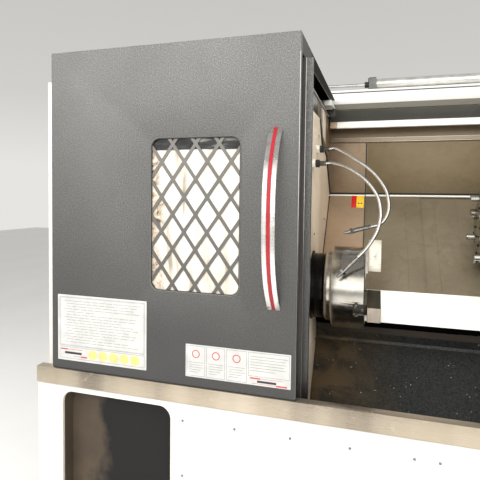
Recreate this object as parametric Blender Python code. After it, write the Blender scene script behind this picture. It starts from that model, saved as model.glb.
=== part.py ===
"""CNC turning lathe with a 45 degree slant bed and a sliding L-shaped door.

Dimensions are written in millimetres from the machine's datum, the lower
closing corner of the open door's front skin: X runs to the tailstock, Y to the
back, Z up.  P() carries them to metres, with the origin on the floor under the
middle of the machine.
"""

import math

import bmesh
import bpy
from mathutils import Matrix, Vector

for old in list(bpy.data.objects):
    bpy.data.objects.remove(old, do_unlink=True)

# ---------------------------------------------------------------- dimensions
MM = 0.001
GAP = 0.3  # clearance between faces that meet
LEFT, RIGHT = -960.0, 1600.0  # ends of the machine
FRONT, REAR = -100.0, 1404.0  # front of the handle, back of the cabinet door
FLOOR = -820.0
CENTRE = ((LEFT + RIGHT) / 2, (FRONT + REAR) / 2, FLOOR)

DOOR_W, DOOR_H, DOOR_T = 887.0, 1120.0, 28.0
DOOR_DEPTH = 985.0  # depth of the door's top panel
DOOR_FLANGE = 58.0
WINDOW = (-494.0, -185.0, 308.0, 812.0)  # x0, x1, z0, z1
WINDOW_R = 30.0
MESH_PITCH_X, MESH_PITCH_Z, STRAND = 80.6, 114.9, 10.5

SPINDLE_Y, SPINDLE_Z = 449.0, 275.0
AXIS_N = 189.5  # height of the spindle axis over the slanted covers
CHUCK_R = 157.5
CHUCK_X0, CHUCK_X1 = 72.0, 193.0
BORE_R = 46.0
JAW_OUT, JAW_IN = 184.0, 64.0

TURRET_S = 330.0  # distance of the turret's axis up the slope
SADDLE_X = (700.0, 1005.0)

BEAM_Y, BEAM_Z = (1004.0, 1064.0), (1072.0, 1152.0)
CYL_Y, CYL_Z = 1046.0, 1197.0

WALL_X = -10.0  # face of the guard plate
TRAY = ((598.0, 22.0), (414.0, -187.0), (300.0, -316.0), (100.0, -316.0), (100.0, -72.0))


def P(x, y, z):
    return Vector((x - CENTRE[0], y - CENTRE[1], z - CENTRE[2])) * MM


def S(s, n):
    """A point of the slanted bed: s up the slope, n out of it, as (y, z)."""
    h = math.sqrt(0.5)
    return (583.0 + (s - n) * h, 141.0 + (s + n) * h)


# ---------------------------------------------------------------- materials
PAINT = {
    "charcoal": ((0.10, 0.10, 0.105), 0.55, 0.0),
    "white": ((0.80, 0.79, 0.75), 0.45, 0.0),
    "black": ((0.015, 0.015, 0.016), 0.40, 0.0),
    "stainless": ((0.55, 0.47, 0.38), 0.32, 1.0),
    "steel": ((0.55, 0.54, 0.52), 0.25, 1.0),
    "dark_steel": ((0.10, 0.10, 0.10), 0.45, 0.8),
    "casting": ((0.42, 0.44, 0.43), 0.60, 0.0),
    "aluminium": ((0.75, 0.75, 0.76), 0.30, 1.0),
    "glass": ((0.80, 0.77, 0.68), 0.30, 0.0),
    "rubber": ((0.03, 0.03, 0.03), 0.80, 0.0),
    "red": ((0.60, 0.03, 0.03), 0.40, 0.0),
    "green": ((0.04, 0.35, 0.10), 0.40, 0.0),
    "braid": ((0.60, 0.60, 0.60), 0.35, 1.0),
    "motor": ((0.03, 0.03, 0.035), 0.50, 0.0),
}


def material(node, kind):
    colour, rough, metal = PAINT[kind]
    m = bpy.data.materials.new(node + "_" + kind)
    m.use_nodes = True
    b = m.node_tree.nodes["Principled BSDF"]
    b.inputs["Base Color"].default_value = (*colour, 1.0)
    b.inputs["Roughness"].default_value = rough
    b.inputs["Metallic"].default_value = metal
    return m


# ---------------------------------------------------------------- mesh tools
def put(name, bm, kind, smooth=False, hidden=False):
    bmesh.ops.recalc_face_normals(bm, faces=bm.faces)
    me = bpy.data.meshes.new(name)
    bm.to_mesh(me)
    bm.free()
    ob = bpy.data.objects.new(name, me)
    bpy.context.scene.collection.objects.link(ob)
    if hidden:
        ob.hide_render = True
        ob.display_type = "WIRE"
    else:
        me.materials.append(material(name, kind))
        if smooth:
            me.shade_smooth()
            me.set_sharp_from_angle(angle=math.radians(32))
    return ob


def prism_mesh(bm, pts, axis, a0, a1):
    """Extrudes a polygon along an axis: X takes (y, z), Y takes (x, z), Z takes (x, y)."""

    def at(p, a):
        if axis == "X":
            return P(a, p[0], p[1])
        if axis == "Y":
            return P(p[0], a, p[1])
        return P(p[0], p[1], a)

    lo = [bm.verts.new(at(p, a0)) for p in pts]
    hi = [bm.verts.new(at(p, a1)) for p in pts]
    n = len(pts)
    bm.faces.new(lo)
    bm.faces.new(list(reversed(hi)))
    for i in range(n):
        j = (i + 1) % n
        bm.faces.new((lo[j], lo[i], hi[i], hi[j]))


def prism(name, pts, axis, a0, a1, kind, hidden=False, smooth=False):
    bm = bmesh.new()
    prism_mesh(bm, pts, axis, a0, a1)
    return put(name, bm, kind, smooth=smooth, hidden=hidden)


def rect(a0, b0, a1, b1):
    return [(a0, b0), (a1, b0), (a1, b1), (a0, b1)]


def box(name, lo, hi, kind, hidden=False):
    return prism(name, rect(lo[0], lo[1], hi[0], hi[1]), "Z", lo[2], hi[2], kind, hidden)


def sbox(name, x, s, n, kind, hidden=False):
    """A box on the slanted bed, between x, s and n limits."""
    pts = [S(s[0], n[0]), S(s[1], n[0]), S(s[1], n[1]), S(s[0], n[1])]
    return prism(name, pts, "X", x[0], x[1], kind, hidden)


def boxes(name, items, kind="steel"):
    """Several boxes that don't touch, as one cutter."""
    bm = bmesh.new()
    for lo, hi in items:
        prism_mesh(bm, rect(lo[0], lo[1], hi[0], hi[1]), "Z", lo[2], hi[2])
    return put(name, bm, kind, hidden=True)


def rounded(x0, z0, x1, z1, r, k=6):
    pts = []
    for cx, cz, a in ((x1 - r, z1 - r, 0), (x0 + r, z1 - r, 90), (x0 + r, z0 + r, 180), (x1 - r, z0 + r, 270)):
        for i in range(k + 1):
            t = math.radians(a + 90 * i / k)
            pts.append((cx + r * math.cos(t), cz + r * math.sin(t)))
    return pts


def turned(name, profile, centre, axis, kind, seg=48, hidden=False):
    """Turns a closed profile of (along, radius) about an axis through centre.

    centre is (y, z) for X, (x, z) for Y and (x, y) for Z.
    """
    bm = bmesh.new()
    rings = []
    for a, r in profile:
        if r < 1e-6:
            ring = [bm.verts.new(place(axis, a, centre, 0.0, 0.0))]
        else:
            ring = [
                bm.verts.new(
                    place(axis, a, centre, r * math.cos(2 * math.pi * i / seg), r * math.sin(2 * math.pi * i / seg))
                )
                for i in range(seg)
            ]
        rings.append(ring)
    count = len(rings)
    for k in range(count):
        a, b = rings[k], rings[(k + 1) % count]
        if len(a) == 1 and len(b) == 1:
            continue
        for i in range(seg):
            j = (i + 1) % seg
            if len(a) == 1:
                bm.faces.new((a[0], b[i], b[j]))
            elif len(b) == 1:
                bm.faces.new((a[i], b[0], a[j]))
            else:
                bm.faces.new((a[i], b[i], b[j], a[j]))
    return put(name, bm, kind, smooth=True, hidden=hidden)


def place(axis, a, centre, u, v):
    if axis == "X":
        return P(a, centre[0] + u, centre[1] + v)
    if axis == "Y":
        return P(centre[0] + u, a, centre[1] + v)
    return P(centre[0] + u, centre[1] + v, a)


def rod(name, a0, a1, r, centre, axis, kind, seg=48, hidden=False):
    return turned(name, [(a0, 0), (a0, r), (a1, r), (a1, 0)], centre, axis, kind, seg, hidden)


def combine(ob, others, operation):
    """Applies an exact boolean of each other object to ob, then removes the other."""
    for other in others:
        mod = ob.modifiers.new("bool", "BOOLEAN")
        mod.operation = operation
        mod.solver = "EXACT"
        mod.object = other
        deps = bpy.context.evaluated_depsgraph_get()
        deps.update()
        mesh = bpy.data.meshes.new_from_object(ob.evaluated_get(deps))
        ob.modifiers.clear()
        previous = ob.data
        mats = [m for m in previous.materials]
        ob.data = mesh
        mesh.materials.clear()
        mesh.materials.append(mats[0])
        for poly in mesh.polygons:
            poly.material_index = 0
        bpy.data.meshes.remove(previous)
        bpy.data.objects.remove(other, do_unlink=True)
    return ob


def cut(ob, *others):
    return combine(ob, others, "DIFFERENCE")


def join(ob, *others):
    return combine(ob, others, "UNION")


def smooth(ob, angle=32):
    ob.data.shade_smooth()
    ob.data.set_sharp_from_angle(angle=math.radians(angle))
    return ob


def pivot(ob, x, y, z):
    """Moves an object's origin to a point on its joint's axis."""
    p = P(x, y, z)
    ob.data.transform(Matrix.Translation(-p))
    ob.location = p
    return ob


AXIS = (SPINDLE_Y, SPINDLE_Z)

# ---------------------------------------------------------------- lower body
base = box("base_cabinet", (LEFT + 5, 4, -760), (RIGHT, 1400, -66), "white")
cut(
    base,
    box("base_inside", (LEFT + 15, 14, -745), (RIGHT - 10, 1390, -40), "white", hidden=True),
    prism("base_recess", rounded(-846, -520, -420, -85, 42), "Y", -10, 30, "white", hidden=True),
)

for i, (fx, fy) in enumerate(((-860, 120), (1500, 120), (-860, 1290), (1500, 1290)), 1):
    turned(
        "levelling_foot_%d" % i,
        [(-820, 0), (-820, 62), (-800, 62), (-790, 40), (-790, 18), (-760.4, 18), (-760.4, 0)],
        (fx, fy),
        "Z",
        "dark_steel",
        24,
    )

# Slant bed with four ways: two for the tailstock, two for the saddle.
bed_face = [S(-60, -110)]
for s0, s1 in ((-25, 5), (85, 115), (180, 220), (540, 580)):
    bed_face += [S(s0, -110), S(s0, -80), S(s1, -80), S(s1, -110)]
bed_face.append(S(640, -110))
bed = prism(
    "bed_casting",
    bed_face + [(1130, 515.8), (1130, -744.5), (650, -744.5), (618.4, -60)],
    "X",
    -520,
    1498,
    "casting",
)
pockets = []
for x0 in (-420, -60, 300, 660, 1020):
    for z0 in (-620, -260):
        pockets.append(((x0, 910, z0), (x0 + 240, 1160, z0 + 240)))
cut(bed, boxes("bed_pockets", pockets))

# ---------------------------------------------------------------- headstock
head = prism(
    "headstock_casting",
    [
        S(-110, -79.7),
        S(240, -79.7),
        S(240, -25),
        S(168, -5),
        S(168, 250),
        S(105, 345),
        S(-105, 345),
        S(-168, 250),
        S(-168, 0),
    ],
    "X",
    -520,
    -70.3,
    "casting",
)
cut(head, rod("head_bore", -530, -60, 86, AXIS, "X", "casting", 48, hidden=True))

turned(
    "spindle_nose_flange",
    [(-70, 87), (-70, 150), (-36, 150), (-36, 126), (38, 126), (43.5, 121), (43.5, 87)],
    AXIS,
    "X",
    "black",
    48,
)

PULLEY_Y, PULLEY_Z = 1240.0, 110.0
turned(
    "spindle",
    [
        (-800, 42), (-800, 60), (-700, 60), (-700, 116), (-688, 109), (-602, 109), (-590, 116), (-590, 70), (-120, 70),
        (-110, 80), (44.4, 80), (44.4, 42),
    ],
    AXIS,
    "X",
    "steel",
    32,
)
turned("chuck_adapter", [(44.8, 42), (44.8, 131), (48.8, 135), (71.7, 135), (71.7, 42)], AXIS, "X", "steel", 48)
turned(
    "chuck_cylinder",
    [(-800.4, 42), (-800.4, 92), (-850, 92), (-856, 84), (-880, 84), (-880, 60), (-925, 60), (-925, 42)],
    AXIS,
    "X",
    "dark_steel",
    24,
)


def radial_box(name, angle, r0, r1, half, x0, x1, kind, hidden=False):
    """A box along a radius of the chuck; angle is in degrees from +Y towards +Z."""
    c, s = math.cos(math.radians(angle)), math.sin(math.radians(angle))
    pts = [
        (SPINDLE_Y + r * c - w * s, SPINDLE_Z + r * s + w * c)
        for r, w in ((r0, -half), (r1, -half), (r1, half), (r0, half))
    ]
    return prism(name, pts, "X", x0, x1, kind, hidden)


chuck = turned(
    "chuck_body",
    [
        (CHUCK_X0, BORE_R), (CHUCK_X0, CHUCK_R - 5), (CHUCK_X0 + 5, CHUCK_R), (CHUCK_X1 - 2.5, CHUCK_R),
        (CHUCK_X1, CHUCK_R - 2.5), (CHUCK_X1, BORE_R),
    ],
    AXIS,
    "X",
    "steel",
    72,
)
JAW_ANGLES = (80.0, 200.0, 320.0)
for a in JAW_ANGLES:
    cut(
        chuck,
        radial_box("slot", a, 20, 190, 22.7, CHUCK_X1 - 40, CHUCK_X1 + 10, "steel", hidden=True),
        radial_box("tee", a, 20, 190, 30.0, CHUCK_X1 - 34, CHUCK_X1 - 22, "steel", hidden=True),
    )
smooth(chuck)
for i, a in enumerate(JAW_ANGLES, 1):
    jaw = radial_box("chuck_jaw_%d" % i, a, 54, 152, 22.3, CHUCK_X1 - 39.6, CHUCK_X1 + 9, "steel")
    join(
        jaw,
        radial_box("foot", a, 54.6, 151.4, 29.6, CHUCK_X1 - 33.6, CHUCK_X1 - 22.4, "steel", hidden=True),
        radial_box("top", a, JAW_IN, JAW_OUT, 30, CHUCK_X1 + 7, CHUCK_X1 + 56, "steel", hidden=True),
    )

# ---------------------------------------------------------------- drive
motor = rod("spindle_motor", -540, -200, 100, (PULLEY_Y, PULLEY_Z), "X", "motor", 32)
join(
    motor,
    box("motor_flange", (-560, 1132, 2), (-530, 1348, 218), "motor", hidden=True),
    box("motor_foot", (-515, 1130.4, 30), (-225, 1160, 190), "motor", hidden=True),
    box("motor_box", (-440, 1180, 195), (-300, 1300, 262), "motor", hidden=True),
)
cut(motor, rod("motor_bore", -570, -500, 21, (PULLEY_Y, PULLEY_Z), "X", "motor", 32, hidden=True))
turned(
    "motor_pulley",
    [
        (-505, 0), (-505, 20), (-590, 20), (-590, 91), (-602, 84), (-688, 84), (-700, 91), (-700, 0),
    ],
    (PULLEY_Y, PULLEY_Z),
    "X",
    "dark_steel",
    24,
)


def belt_loop(ra, rb, k=20):
    """The outline of a belt round two pulleys of radius ra and rb."""
    dy, dz = PULLEY_Y - SPINDLE_Y, PULLEY_Z - SPINDLE_Z
    d = math.hypot(dy, dz)
    base_angle = math.atan2(dz, dy)
    lean = math.acos((ra - rb) / d)
    pts = []
    for i in range(k + 1):
        t = base_angle + lean + (2 * math.pi - 2 * lean) * i / k
        pts.append((SPINDLE_Y + ra * math.cos(t), SPINDLE_Z + ra * math.sin(t)))
    for i in range(k + 1):
        t = base_angle - lean + 2 * lean * i / k
        pts.append((PULLEY_Y + rb * math.cos(t), PULLEY_Z + rb * math.sin(t)))
    return pts


belt = prism("drive_belt", belt_loop(121, 96), "X", -686, -604, "rubber")
cut(belt, prism("belt_inside", belt_loop(111, 86), "X", -690, -600, "rubber", hidden=True))
smooth(belt)

# ---------------------------------------------------------------- work area
guard = prism(
    "guard_plate",
    [
        (111, -330), (600, -330), (600, 74), (1081, 555), (1081, 646), (872, 828), (676, 863), (592, 958), (363, 952),
        (111, 946),
    ],
    "X",
    WALL_X - 6,
    WALL_X - 0.4,
    "stainless",
)
cut(guard, rod("guard_hole", -60, 20, 127.6, AXIS, "X", "steel", 64, hidden=True))
bulk = prism(
    "bulkhead",
    [(77, -330), (604, -330), (604, 72), (1092, 560), (1092, 1028), (77, 1028)],
    "X",
    WALL_X - 24,
    WALL_X - 6.6,
    "black",
)
cut(bulk, rod("bulk_hole", -60, 20, 127.6, AXIS, "X", "steel", 64, hidden=True))

front_line = [
    (1086, 647), (1086, 911), (1077, 914), (1077, 932), (1083, 941), (1083, 987), (1040, 1014), (1013, 1066),
]
back_line = [(y + 4, z + (3 if k > 4 else 0)) for k, (y, z) in enumerate(front_line)]
prism("back_wall", front_line + list(reversed(back_line)), "X", WALL_X + 0.4, 1499, "stainless")

sbox("slant_cover", (WALL_X + 0.4, 171.7), (121.5, 708), (-3, 0), "stainless")
prism(
    "lower_way_cover",
    [S(-35, -42), S(-32, -42), S(-32, -3), S(121, -3), S(121, 0), S(-35, 0)],
    "X",
    WALL_X + 0.4,
    640,
    "stainless",
)
sbox("way_cover_1", (162, 440), (125, 700), (-8, -5), "stainless")
sbox("way_cover_2", (430, SADDLE_X[0] - 0.4), (125, 700), (-13, -10), "stainless")


def thick_line(pts, t):
    """A sheet of thickness t along a polyline, on its right-hand side."""
    out = []
    n = len(pts)
    for i in range(n):
        a = pts[i - 1] if i else None
        b = pts[i]
        c = pts[i + 1] if i < n - 1 else None
        norms = []
        for p, q in ((a, b), (b, c)):
            if p and q:
                d = math.hypot(q[0] - p[0], q[1] - p[1])
                norms.append(((q[1] - p[1]) / d, -(q[0] - p[0]) / d))
        nx = sum(v[0] for v in norms) / len(norms)
        ny = sum(v[1] for v in norms) / len(norms)
        m = nx * nx + ny * ny
        out.append((b[0] + t * nx / m, b[1] + t * ny / m))
    return pts + list(reversed(out))


tray_line = list(TRAY)
prism("chip_tray", thick_line(list(reversed(tray_line)), 5.0), "X", WALL_X + 0.4, 1499, "dark_steel")

# ---------------------------------------------------------------- enclosure
prism(
    "sill_strip",
    [(-3, -63), (0, -63), (0, -8), (31, -8), (31, -5), (-3, -5)],
    "X",
    LEFT + 5,
    878,
    "stainless",
)
box("door_rail", (LEFT + 10, 34, -62), (876, 46, -20.4), "steel")

left = prism("left_enclosure", rect(LEFT, -65.6, LEFT + 4, 1040), "Y", 76, 1400, "white")
join(
    left,
    box("l_front", (LEFT, 70, -65.6), (-0.4, 76.2, 1040), "white", hidden=True),
    box("l_roof", (LEFT, 70, 1036), (-12, 1000, 1040), "white", hidden=True),
    prism("l_header", [(790, 1034), (1000, 1072), (1000, 1077), (790, 1077)], "X", -60, 18, "white", hidden=True),
    box("l_post", (LEFT, 1004, -65.6), (-915, 1064, 1071.6), "white", hidden=True),
    box("l_rear", (LEFT, 1396, -65.6), (376, 1400, 1060), "white", hidden=True),
    box("l_rear_roof", (LEFT, 1075, 1056), (376, 1400, 1060), "white", hidden=True),
    box("l_rear_end", (LEFT, 1060, 1030), (LEFT + 4, 1400, 1060), "white", hidden=True),
)

right = prism("right_enclosure", rect(RIGHT - 4, -65.6, RIGHT, 1060), "Y", 0, 1400, "white")
join(
    right,
    box("r_front", (882, 0, -62), (RIGHT, 4, 1120), "white", hidden=True),
    box("r_roof", (882, 0, 1116), (RIGHT, 1000, 1120), "white", hidden=True),
    box("r_end_top", (RIGHT - 4, 0, 1050), (RIGHT, 1000, 1120), "white", hidden=True),
    box("r_jamb", (882, 0, -62), (886, 120, 1120), "white", hidden=True),
    box("r_post", (1550, 1004, -65.6), (RIGHT, 1064, 1071.6), "white", hidden=True),
    prism(
        "r_inner",
        [(60, -320), (602, -320), (604, 20), (1070, 486), (1070, 1060), (1002, 1060), (1000, 1118), (60, 1118)],
        "X",
        1500,
        1504,
        "white",
        hidden=True,
    ),
)

prism(
    "jamb_post",
    [(0.4, 74), (4.5, 74), (4.5, 70), (27, 70), (27, 90), (0.4, 90)],
    "Z",
    -62,
    1060,
    "charcoal",
)

beam = prism(
    "top_beam",
    [(BEAM_Y[0], BEAM_Z[1]), (BEAM_Y[0], 1098), (1013, BEAM_Z[0]), (BEAM_Y[1], BEAM_Z[0]), (BEAM_Y[1], BEAM_Z[1])],
    "X",
    LEFT + 10,
    RIGHT - 10,
    "white",
)
cut(
    beam,
    prism(
        "beam_inside",
        [(1008, 1147), (1008, 1099), (1015.5, 1077), (1070, 1077), (1070, 1147)],
        "X",
        LEFT,
        RIGHT,
        "white",
        hidden=True,
    ),
)

cabinet = box("rear_cabinet", (380, 1160, -65.6), (1595.6, 1396, 1056), "white")
cut(cabinet, box("cabinet_inside", (383, 1163, -62), (1592.6, 1410, 1053), "white", hidden=True))
door2 = box("cabinet_door", (381, 1396.4, -60), (1590, 1400, 1052), "white")
join(
    door2,
    box("door2_handle", (410, 1399, 470), (440, 1404, 620), "black", hidden=True),
)
pivot(door2, 1590, 1398, 0)

# ---------------------------------------------------------------- door cylinder
tube = turned(
    "cylinder_barrel",
    [(216.4, 23.5), (216.4, 27), (1165, 27), (1165, 0), (1155, 0), (1155, 23.5)],
    (CYL_Y, CYL_Z),
    "X",
    "aluminium",
    32,
)
join(
    tube,
    box("cyl_rear", (1150, CYL_Y - 31, CYL_Z - 31), (1186, CYL_Y + 31, CYL_Z + 31), "aluminium", hidden=True),
    box("cyl_rear_foot", (1142, CYL_Y - 18, 1152.4), (1194, CYL_Y + 17, 1168), "aluminium", hidden=True),
)
cut(tube, rod("cyl_bore", 200, 1155, 23.5, (CYL_Y, CYL_Z), "X", "steel", 32, hidden=True))
chead = box("cylinder_head", (181, CYL_Y - 31, CYL_Z - 31), (216, CYL_Y + 31, CYL_Z + 31), "casting")
join(
    chead,
    rod("gland", 160, 190, 15, (CYL_Y, CYL_Z), "X", "casting", 32, hidden=True),
    box("head_foot", (172, CYL_Y - 18, 1152.4), (224, CYL_Y + 17, 1168), "casting", hidden=True),
)
cut(chead, rod("gland_bore", 100, 300, 8.6, (CYL_Y, CYL_Z), "X", "casting", 24, hidden=True))

# ---------------------------------------------------------------- sliding door
door = box("door_shell", (-DOOR_W, 0, 0), (0, DOOR_T, DOOR_H), "charcoal")
cut(
    door,
    box("door_back", (-DOOR_W + 3, 3, 3), (-3, DOOR_T + 10, DOOR_H - 3), "charcoal", hidden=True),
)
cut(
    door,
    prism("door_window", rounded(WINDOW[0], WINDOW[2], WINDOW[1], WINDOW[3], WINDOW_R), "Y", -10, 50, "charcoal", hidden=True),
)
TAPER = 15.0
flange = prism(
    "d_flange",
    [
        (0, DOOR_H - DOOR_FLANGE),
        (780, DOOR_H - DOOR_FLANGE + 17),
        (DOOR_DEPTH, DOOR_H - 10),
        (DOOR_DEPTH, DOOR_H),
        (0, DOOR_H),
    ],
    "X",
    -3,
    0,
    "charcoal",
    hidden=True,
)
left_flange = prism(
    "d_flange_left",
    [
        (0, DOOR_H - DOOR_FLANGE),
        (780, DOOR_H - DOOR_FLANGE + 17),
        (DOOR_DEPTH, DOOR_H - 10),
        (DOOR_DEPTH, DOOR_H),
        (0, DOOR_H),
    ],
    "X",
    -DOOR_W,
    -DOOR_W + 3,
    "charcoal",
    hidden=True,
)
for v in flange.data.vertices:
    v.co.x += TAPER * MM * (v.co.y / MM + CENTRE[1]) / DOOR_DEPTH
top_panel = prism(
    "d_top",
    [(-DOOR_W, 0), (0, 0), (TAPER, DOOR_DEPTH), (-DOOR_W, DOOR_DEPTH)],
    "Z",
    DOOR_H - 3,
    DOOR_H,
    "charcoal",
    hidden=True,
)
join(
    door,
    top_panel,
    flange,
    left_flange,
    box("d_rear_lip", (-DOOR_W, DOOR_DEPTH - 3, DOOR_H - 22), (6, DOOR_DEPTH, DOOR_H), "charcoal", hidden=True),
    box("d_rod_plate", (-740, DOOR_DEPTH - 60, DOOR_H - 2), (-700, CYL_Y + 22, DOOR_H + 42), "charcoal", hidden=True),
    box("d_rod_lug", (-740, CYL_Y - 24, DOOR_H + 37), (-700, CYL_Y + 22, CYL_Z + 24), "charcoal", hidden=True),
    box("d_axle_left", (-812, 2, -4), (-788, 33, 12), "charcoal", hidden=True),
    box("d_axle_right", (-112, 2, -4), (-88, 33, 12), "charcoal", hidden=True),
)
cut(
    door,
    box("beam_room", (-760, 1000, DOOR_H - 10), (-690, 1080, BEAM_Z[1] + 3), "charcoal", hidden=True),
    rod("rod_hole", -760, -690, 8.4, (CYL_Y, CYL_Z), "X", "charcoal", 24, hidden=True),
)

for name, cx in (("door_roller_left", -800), ("door_roller_right", -100)):
    roller = turned(
        name,
        [(33.4, 0), (33.4, 20), (37, 20), (38, 18), (42, 18), (43, 20), (47, 20), (47, 0)],
        (cx, 0),
        "Y",
        "steel",
        24,
    )
    pivot(roller, cx, 40, 0)

turned(
    "cylinder_rod",
    [(-739, 0), (-739, 8), (262, 8), (262, 22.8), (292, 22.8), (292, 0)],
    (CYL_Y, CYL_Z),
    "X",
    "steel",
    24,
)

wx0, wx1, wz0, wz1 = WINDOW
mesh_plate = prism(
    "window_guard", rounded(wx0 - 14, wz0 - 14, wx1 + 14, wz1 + 14, WINDOW_R + 10), "Y", 3.4, 6.4, "charcoal"
)
bm = bmesh.new()
half_x, half_z = MESH_PITCH_X / 2, MESH_PITCH_Z / 2
# The strand's width is measured across its run, so the openings are smaller by the same share both ways.
length = math.hypot(half_x, half_z)
share = 1.0 - STRAND * length / (2 * half_x * half_z)
ox, oz = -337.2, 504.8
for row in range(-4, 7):
    for col in range(-3, 4):
        cx = ox + col * MESH_PITCH_X + (half_x if row % 2 else 0.0)
        cz = oz + row * half_z
        if abs(cx - (wx0 + wx1) / 2) - half_x * share > (wx1 - wx0) / 2 - 3:
            continue
        if abs(cz - (wz0 + wz1) / 2) - half_z * share > (wz1 - wz0) / 2 - 3:
            continue
        corners = [(cx - half_x * share, cz), (cx, cz - half_z * share), (cx + half_x * share, cz), (cx, cz + half_z * share)]
        prism_mesh(bm, corners, "Y", 0, 12)
diamonds = put("diamonds", bm, "charcoal", hidden=True)
diamonds.data.materials.append(material("diamonds", "charcoal"))
clip = prism("clip", rounded(wx0 - 3, wz0 - 3, wx1 + 3, wz1 + 3, WINDOW_R + 3), "Y", -2, 14, "charcoal", hidden=True)
combine(diamonds, [clip], "INTERSECT")
cut(mesh_plate, diamonds)
box("window_glass", (wx0 - 16, 6.8, wz0 - 16), (wx1 + 16, 12.8, wz1 + 16), "glass")

# Handle: a flat strip, bowed away from the door, straight in its middle.
H_Z0, H_Z1, H_X0, H_X1, H_OUT, H_T = 273.6, 836.0, -92.0, -52.0, 96.0, 6.0


def bow(k, inset):
    t = -1 + 2 * k / 28
    mid, half = (H_Z0 + H_Z1) / 2, (H_Z1 - H_Z0) / 2
    reach = (H_OUT - inset) * (1 - abs(t) ** 2.7)
    return (-GAP - reach, mid + t * (half - inset * 1.0 * (abs(t) > 0.999) - inset * 0.9 * abs(t) ** 6))


outer = [bow(k, 0) for k in range(29)]
inner = [bow(k, H_T) for k in range(29)]
prism("door_handle", outer + list(reversed(inner)), "X", H_X0, H_X1, "aluminium", smooth=True)
smooth(bpy.data.objects["door_handle"], 25)

# ---------------------------------------------------------------- carriage
saddle = sbox("saddle", SADDLE_X, (150, 610), (-79.6, 12), "casting")
join(
    saddle,
    sbox("rail_a", (745, 785), (160, 600), (11, 40), "casting", hidden=True),
    sbox("rail_b", (915, 955), (160, 600), (11, 40), "casting", hidden=True),
)
TY, TZ = S(TURRET_S, AXIS_N)
slide = sbox("turret_slide", (725, 975), (200, 560), (40.4, 76), "casting")
join(
    slide,
    sbox("turret_house", (691, 975), (238, 422), (74, 284), "casting", hidden=True),
    rod("turret_motor", 970, 1075, 58, (TY, TZ), "X", "casting", 32, hidden=True),
    sbox("turret_web", (735, 965), (420, 540), (74, 110), "casting", hidden=True),
)

disc = rod("turret_disc", 636, 690.6, 127, (TY, TZ), "X", "steel", 8)
parts = [rod("disc_hub", 626, 640, 60, (TY, TZ), "X", "steel", 24, hidden=True)]
for k in range(8):
    a = math.radians(45 * k + 22.5)
    c, s = math.cos(a), math.sin(a)

    def holder(r0, r1, w0, w1, x0, x1, tag):
        pts = [(TY + r * c - w * s, TZ + r * s + w * c) for r, w in ((r0, w0), (r1, w0), (r1, w1), (r0, w1))]
        return prism(tag, pts, "X", x0, x1, "steel", hidden=True)

    parts.append(holder(112, 146, -30, 30, 640, 686, "holder"))
    if k % 2 == 0:
        parts.append(holder(130, 166, -12, 10, 624, 648, "tool"))
    else:
        y, z = TY + 128 * c, TZ + 128 * s
        parts.append(rod("bar", 606, 650, 13, (y, z), "X", "steel", 12, hidden=True))
join(disc, *parts)
pivot(disc, 660, TY, TZ)

tail = sbox("tailstock_body", (1200, 1420), (-45, 132), (-79.6, 30), "casting")
join(
    tail,
    sbox("tail_web", (1215, 1405), (-58, 60), (29, 190), "casting", hidden=True),
    rod("tail_barrel", 1200, 1420, 72, AXIS, "X", "casting", 40, hidden=True),
)
cut(tail, rod("tail_bore", 1190, 1430, 40.4, AXIS, "X", "casting", 40, hidden=True))
turned(
    "tailstock_quill",
    [(1150, 16.4), (1150, 36), (1154, 40), (1415, 40), (1415, 0), (1190, 0), (1190, 16.4)],
    AXIS,
    "X",
    "steel",
    40,
)
turned(
    "live_centre",
    [(1104, 0), (1126, 14), (1126, 28), (1149.6, 28), (1149.6, 16), (1186, 15), (1186, 0)],
    AXIS,
    "X",
    "steel",
    32,
)

# ---------------------------------------------------------------- controls
panel = prism(
    "panel_housing",
    [(-0.4, 230), (-72, 230), (-84, 242), (-84, 430), (-62, 470), (-62, 868), (-50, 880), (-0.4, 880)],
    "X",
    960,
    1520,
    "charcoal",
)
cut(
    panel,
    box("screen_recess", (1010, -90, 540), (1350, -54, 820), "charcoal", hidden=True),
    rod("estop_bore", -90, -50, 12.5, (1450, 320), "Y", "charcoal", 24, hidden=True),
    rod("wheel_bore", -90, -50, 8.5, (1060, 330), "Y", "charcoal", 24, hidden=True),
    rod("knob_bore", -90, -50, 6.5, (1220, 330), "Y", "charcoal", 24, hidden=True),
    rod("start_bore", -90, -50, 11.5, (1340, 330), "Y", "charcoal", 24, hidden=True),
)
PANEL_Y = -84.0
turned(
    "estop_button",
    [(-56, 0), (-56, 12), (-92, 12), (-92, 19), (-96, 20), (-99, 17), (-100, 8), (-100, 0)],
    (1450, 320),
    "Y",
    "red",
    32,
)
wheel = turned(
    "pulse_handwheel",
    [(-56, 0), (-56, 8), (-85, 8), (-85, 38), (-90, 40), (-94, 40), (-97, 36), (-97, 0)],
    (1060, 330),
    "Y",
    "black",
    40,
)
pivot(wheel, 1060, -90, 330)
knob = turned(
    "override_knob",
    [(-56, 0), (-56, 6), (-85, 6), (-85, 17), (-97, 14), (-97, 0)],
    (1220, 330),
    "Y",
    "black",
    16,
)
pivot(knob, 1220, -90, 330)
turned(
    "cycle_start_button",
    [(-60, 0), (-60, 11), (-88, 11), (-90, 9.5), (-90, 0)],
    (1340, 330),
    "Y",
    "green",
    24,
)

# ---------------------------------------------------------------- coolant lines
HOSE_D = 12.5


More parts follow.
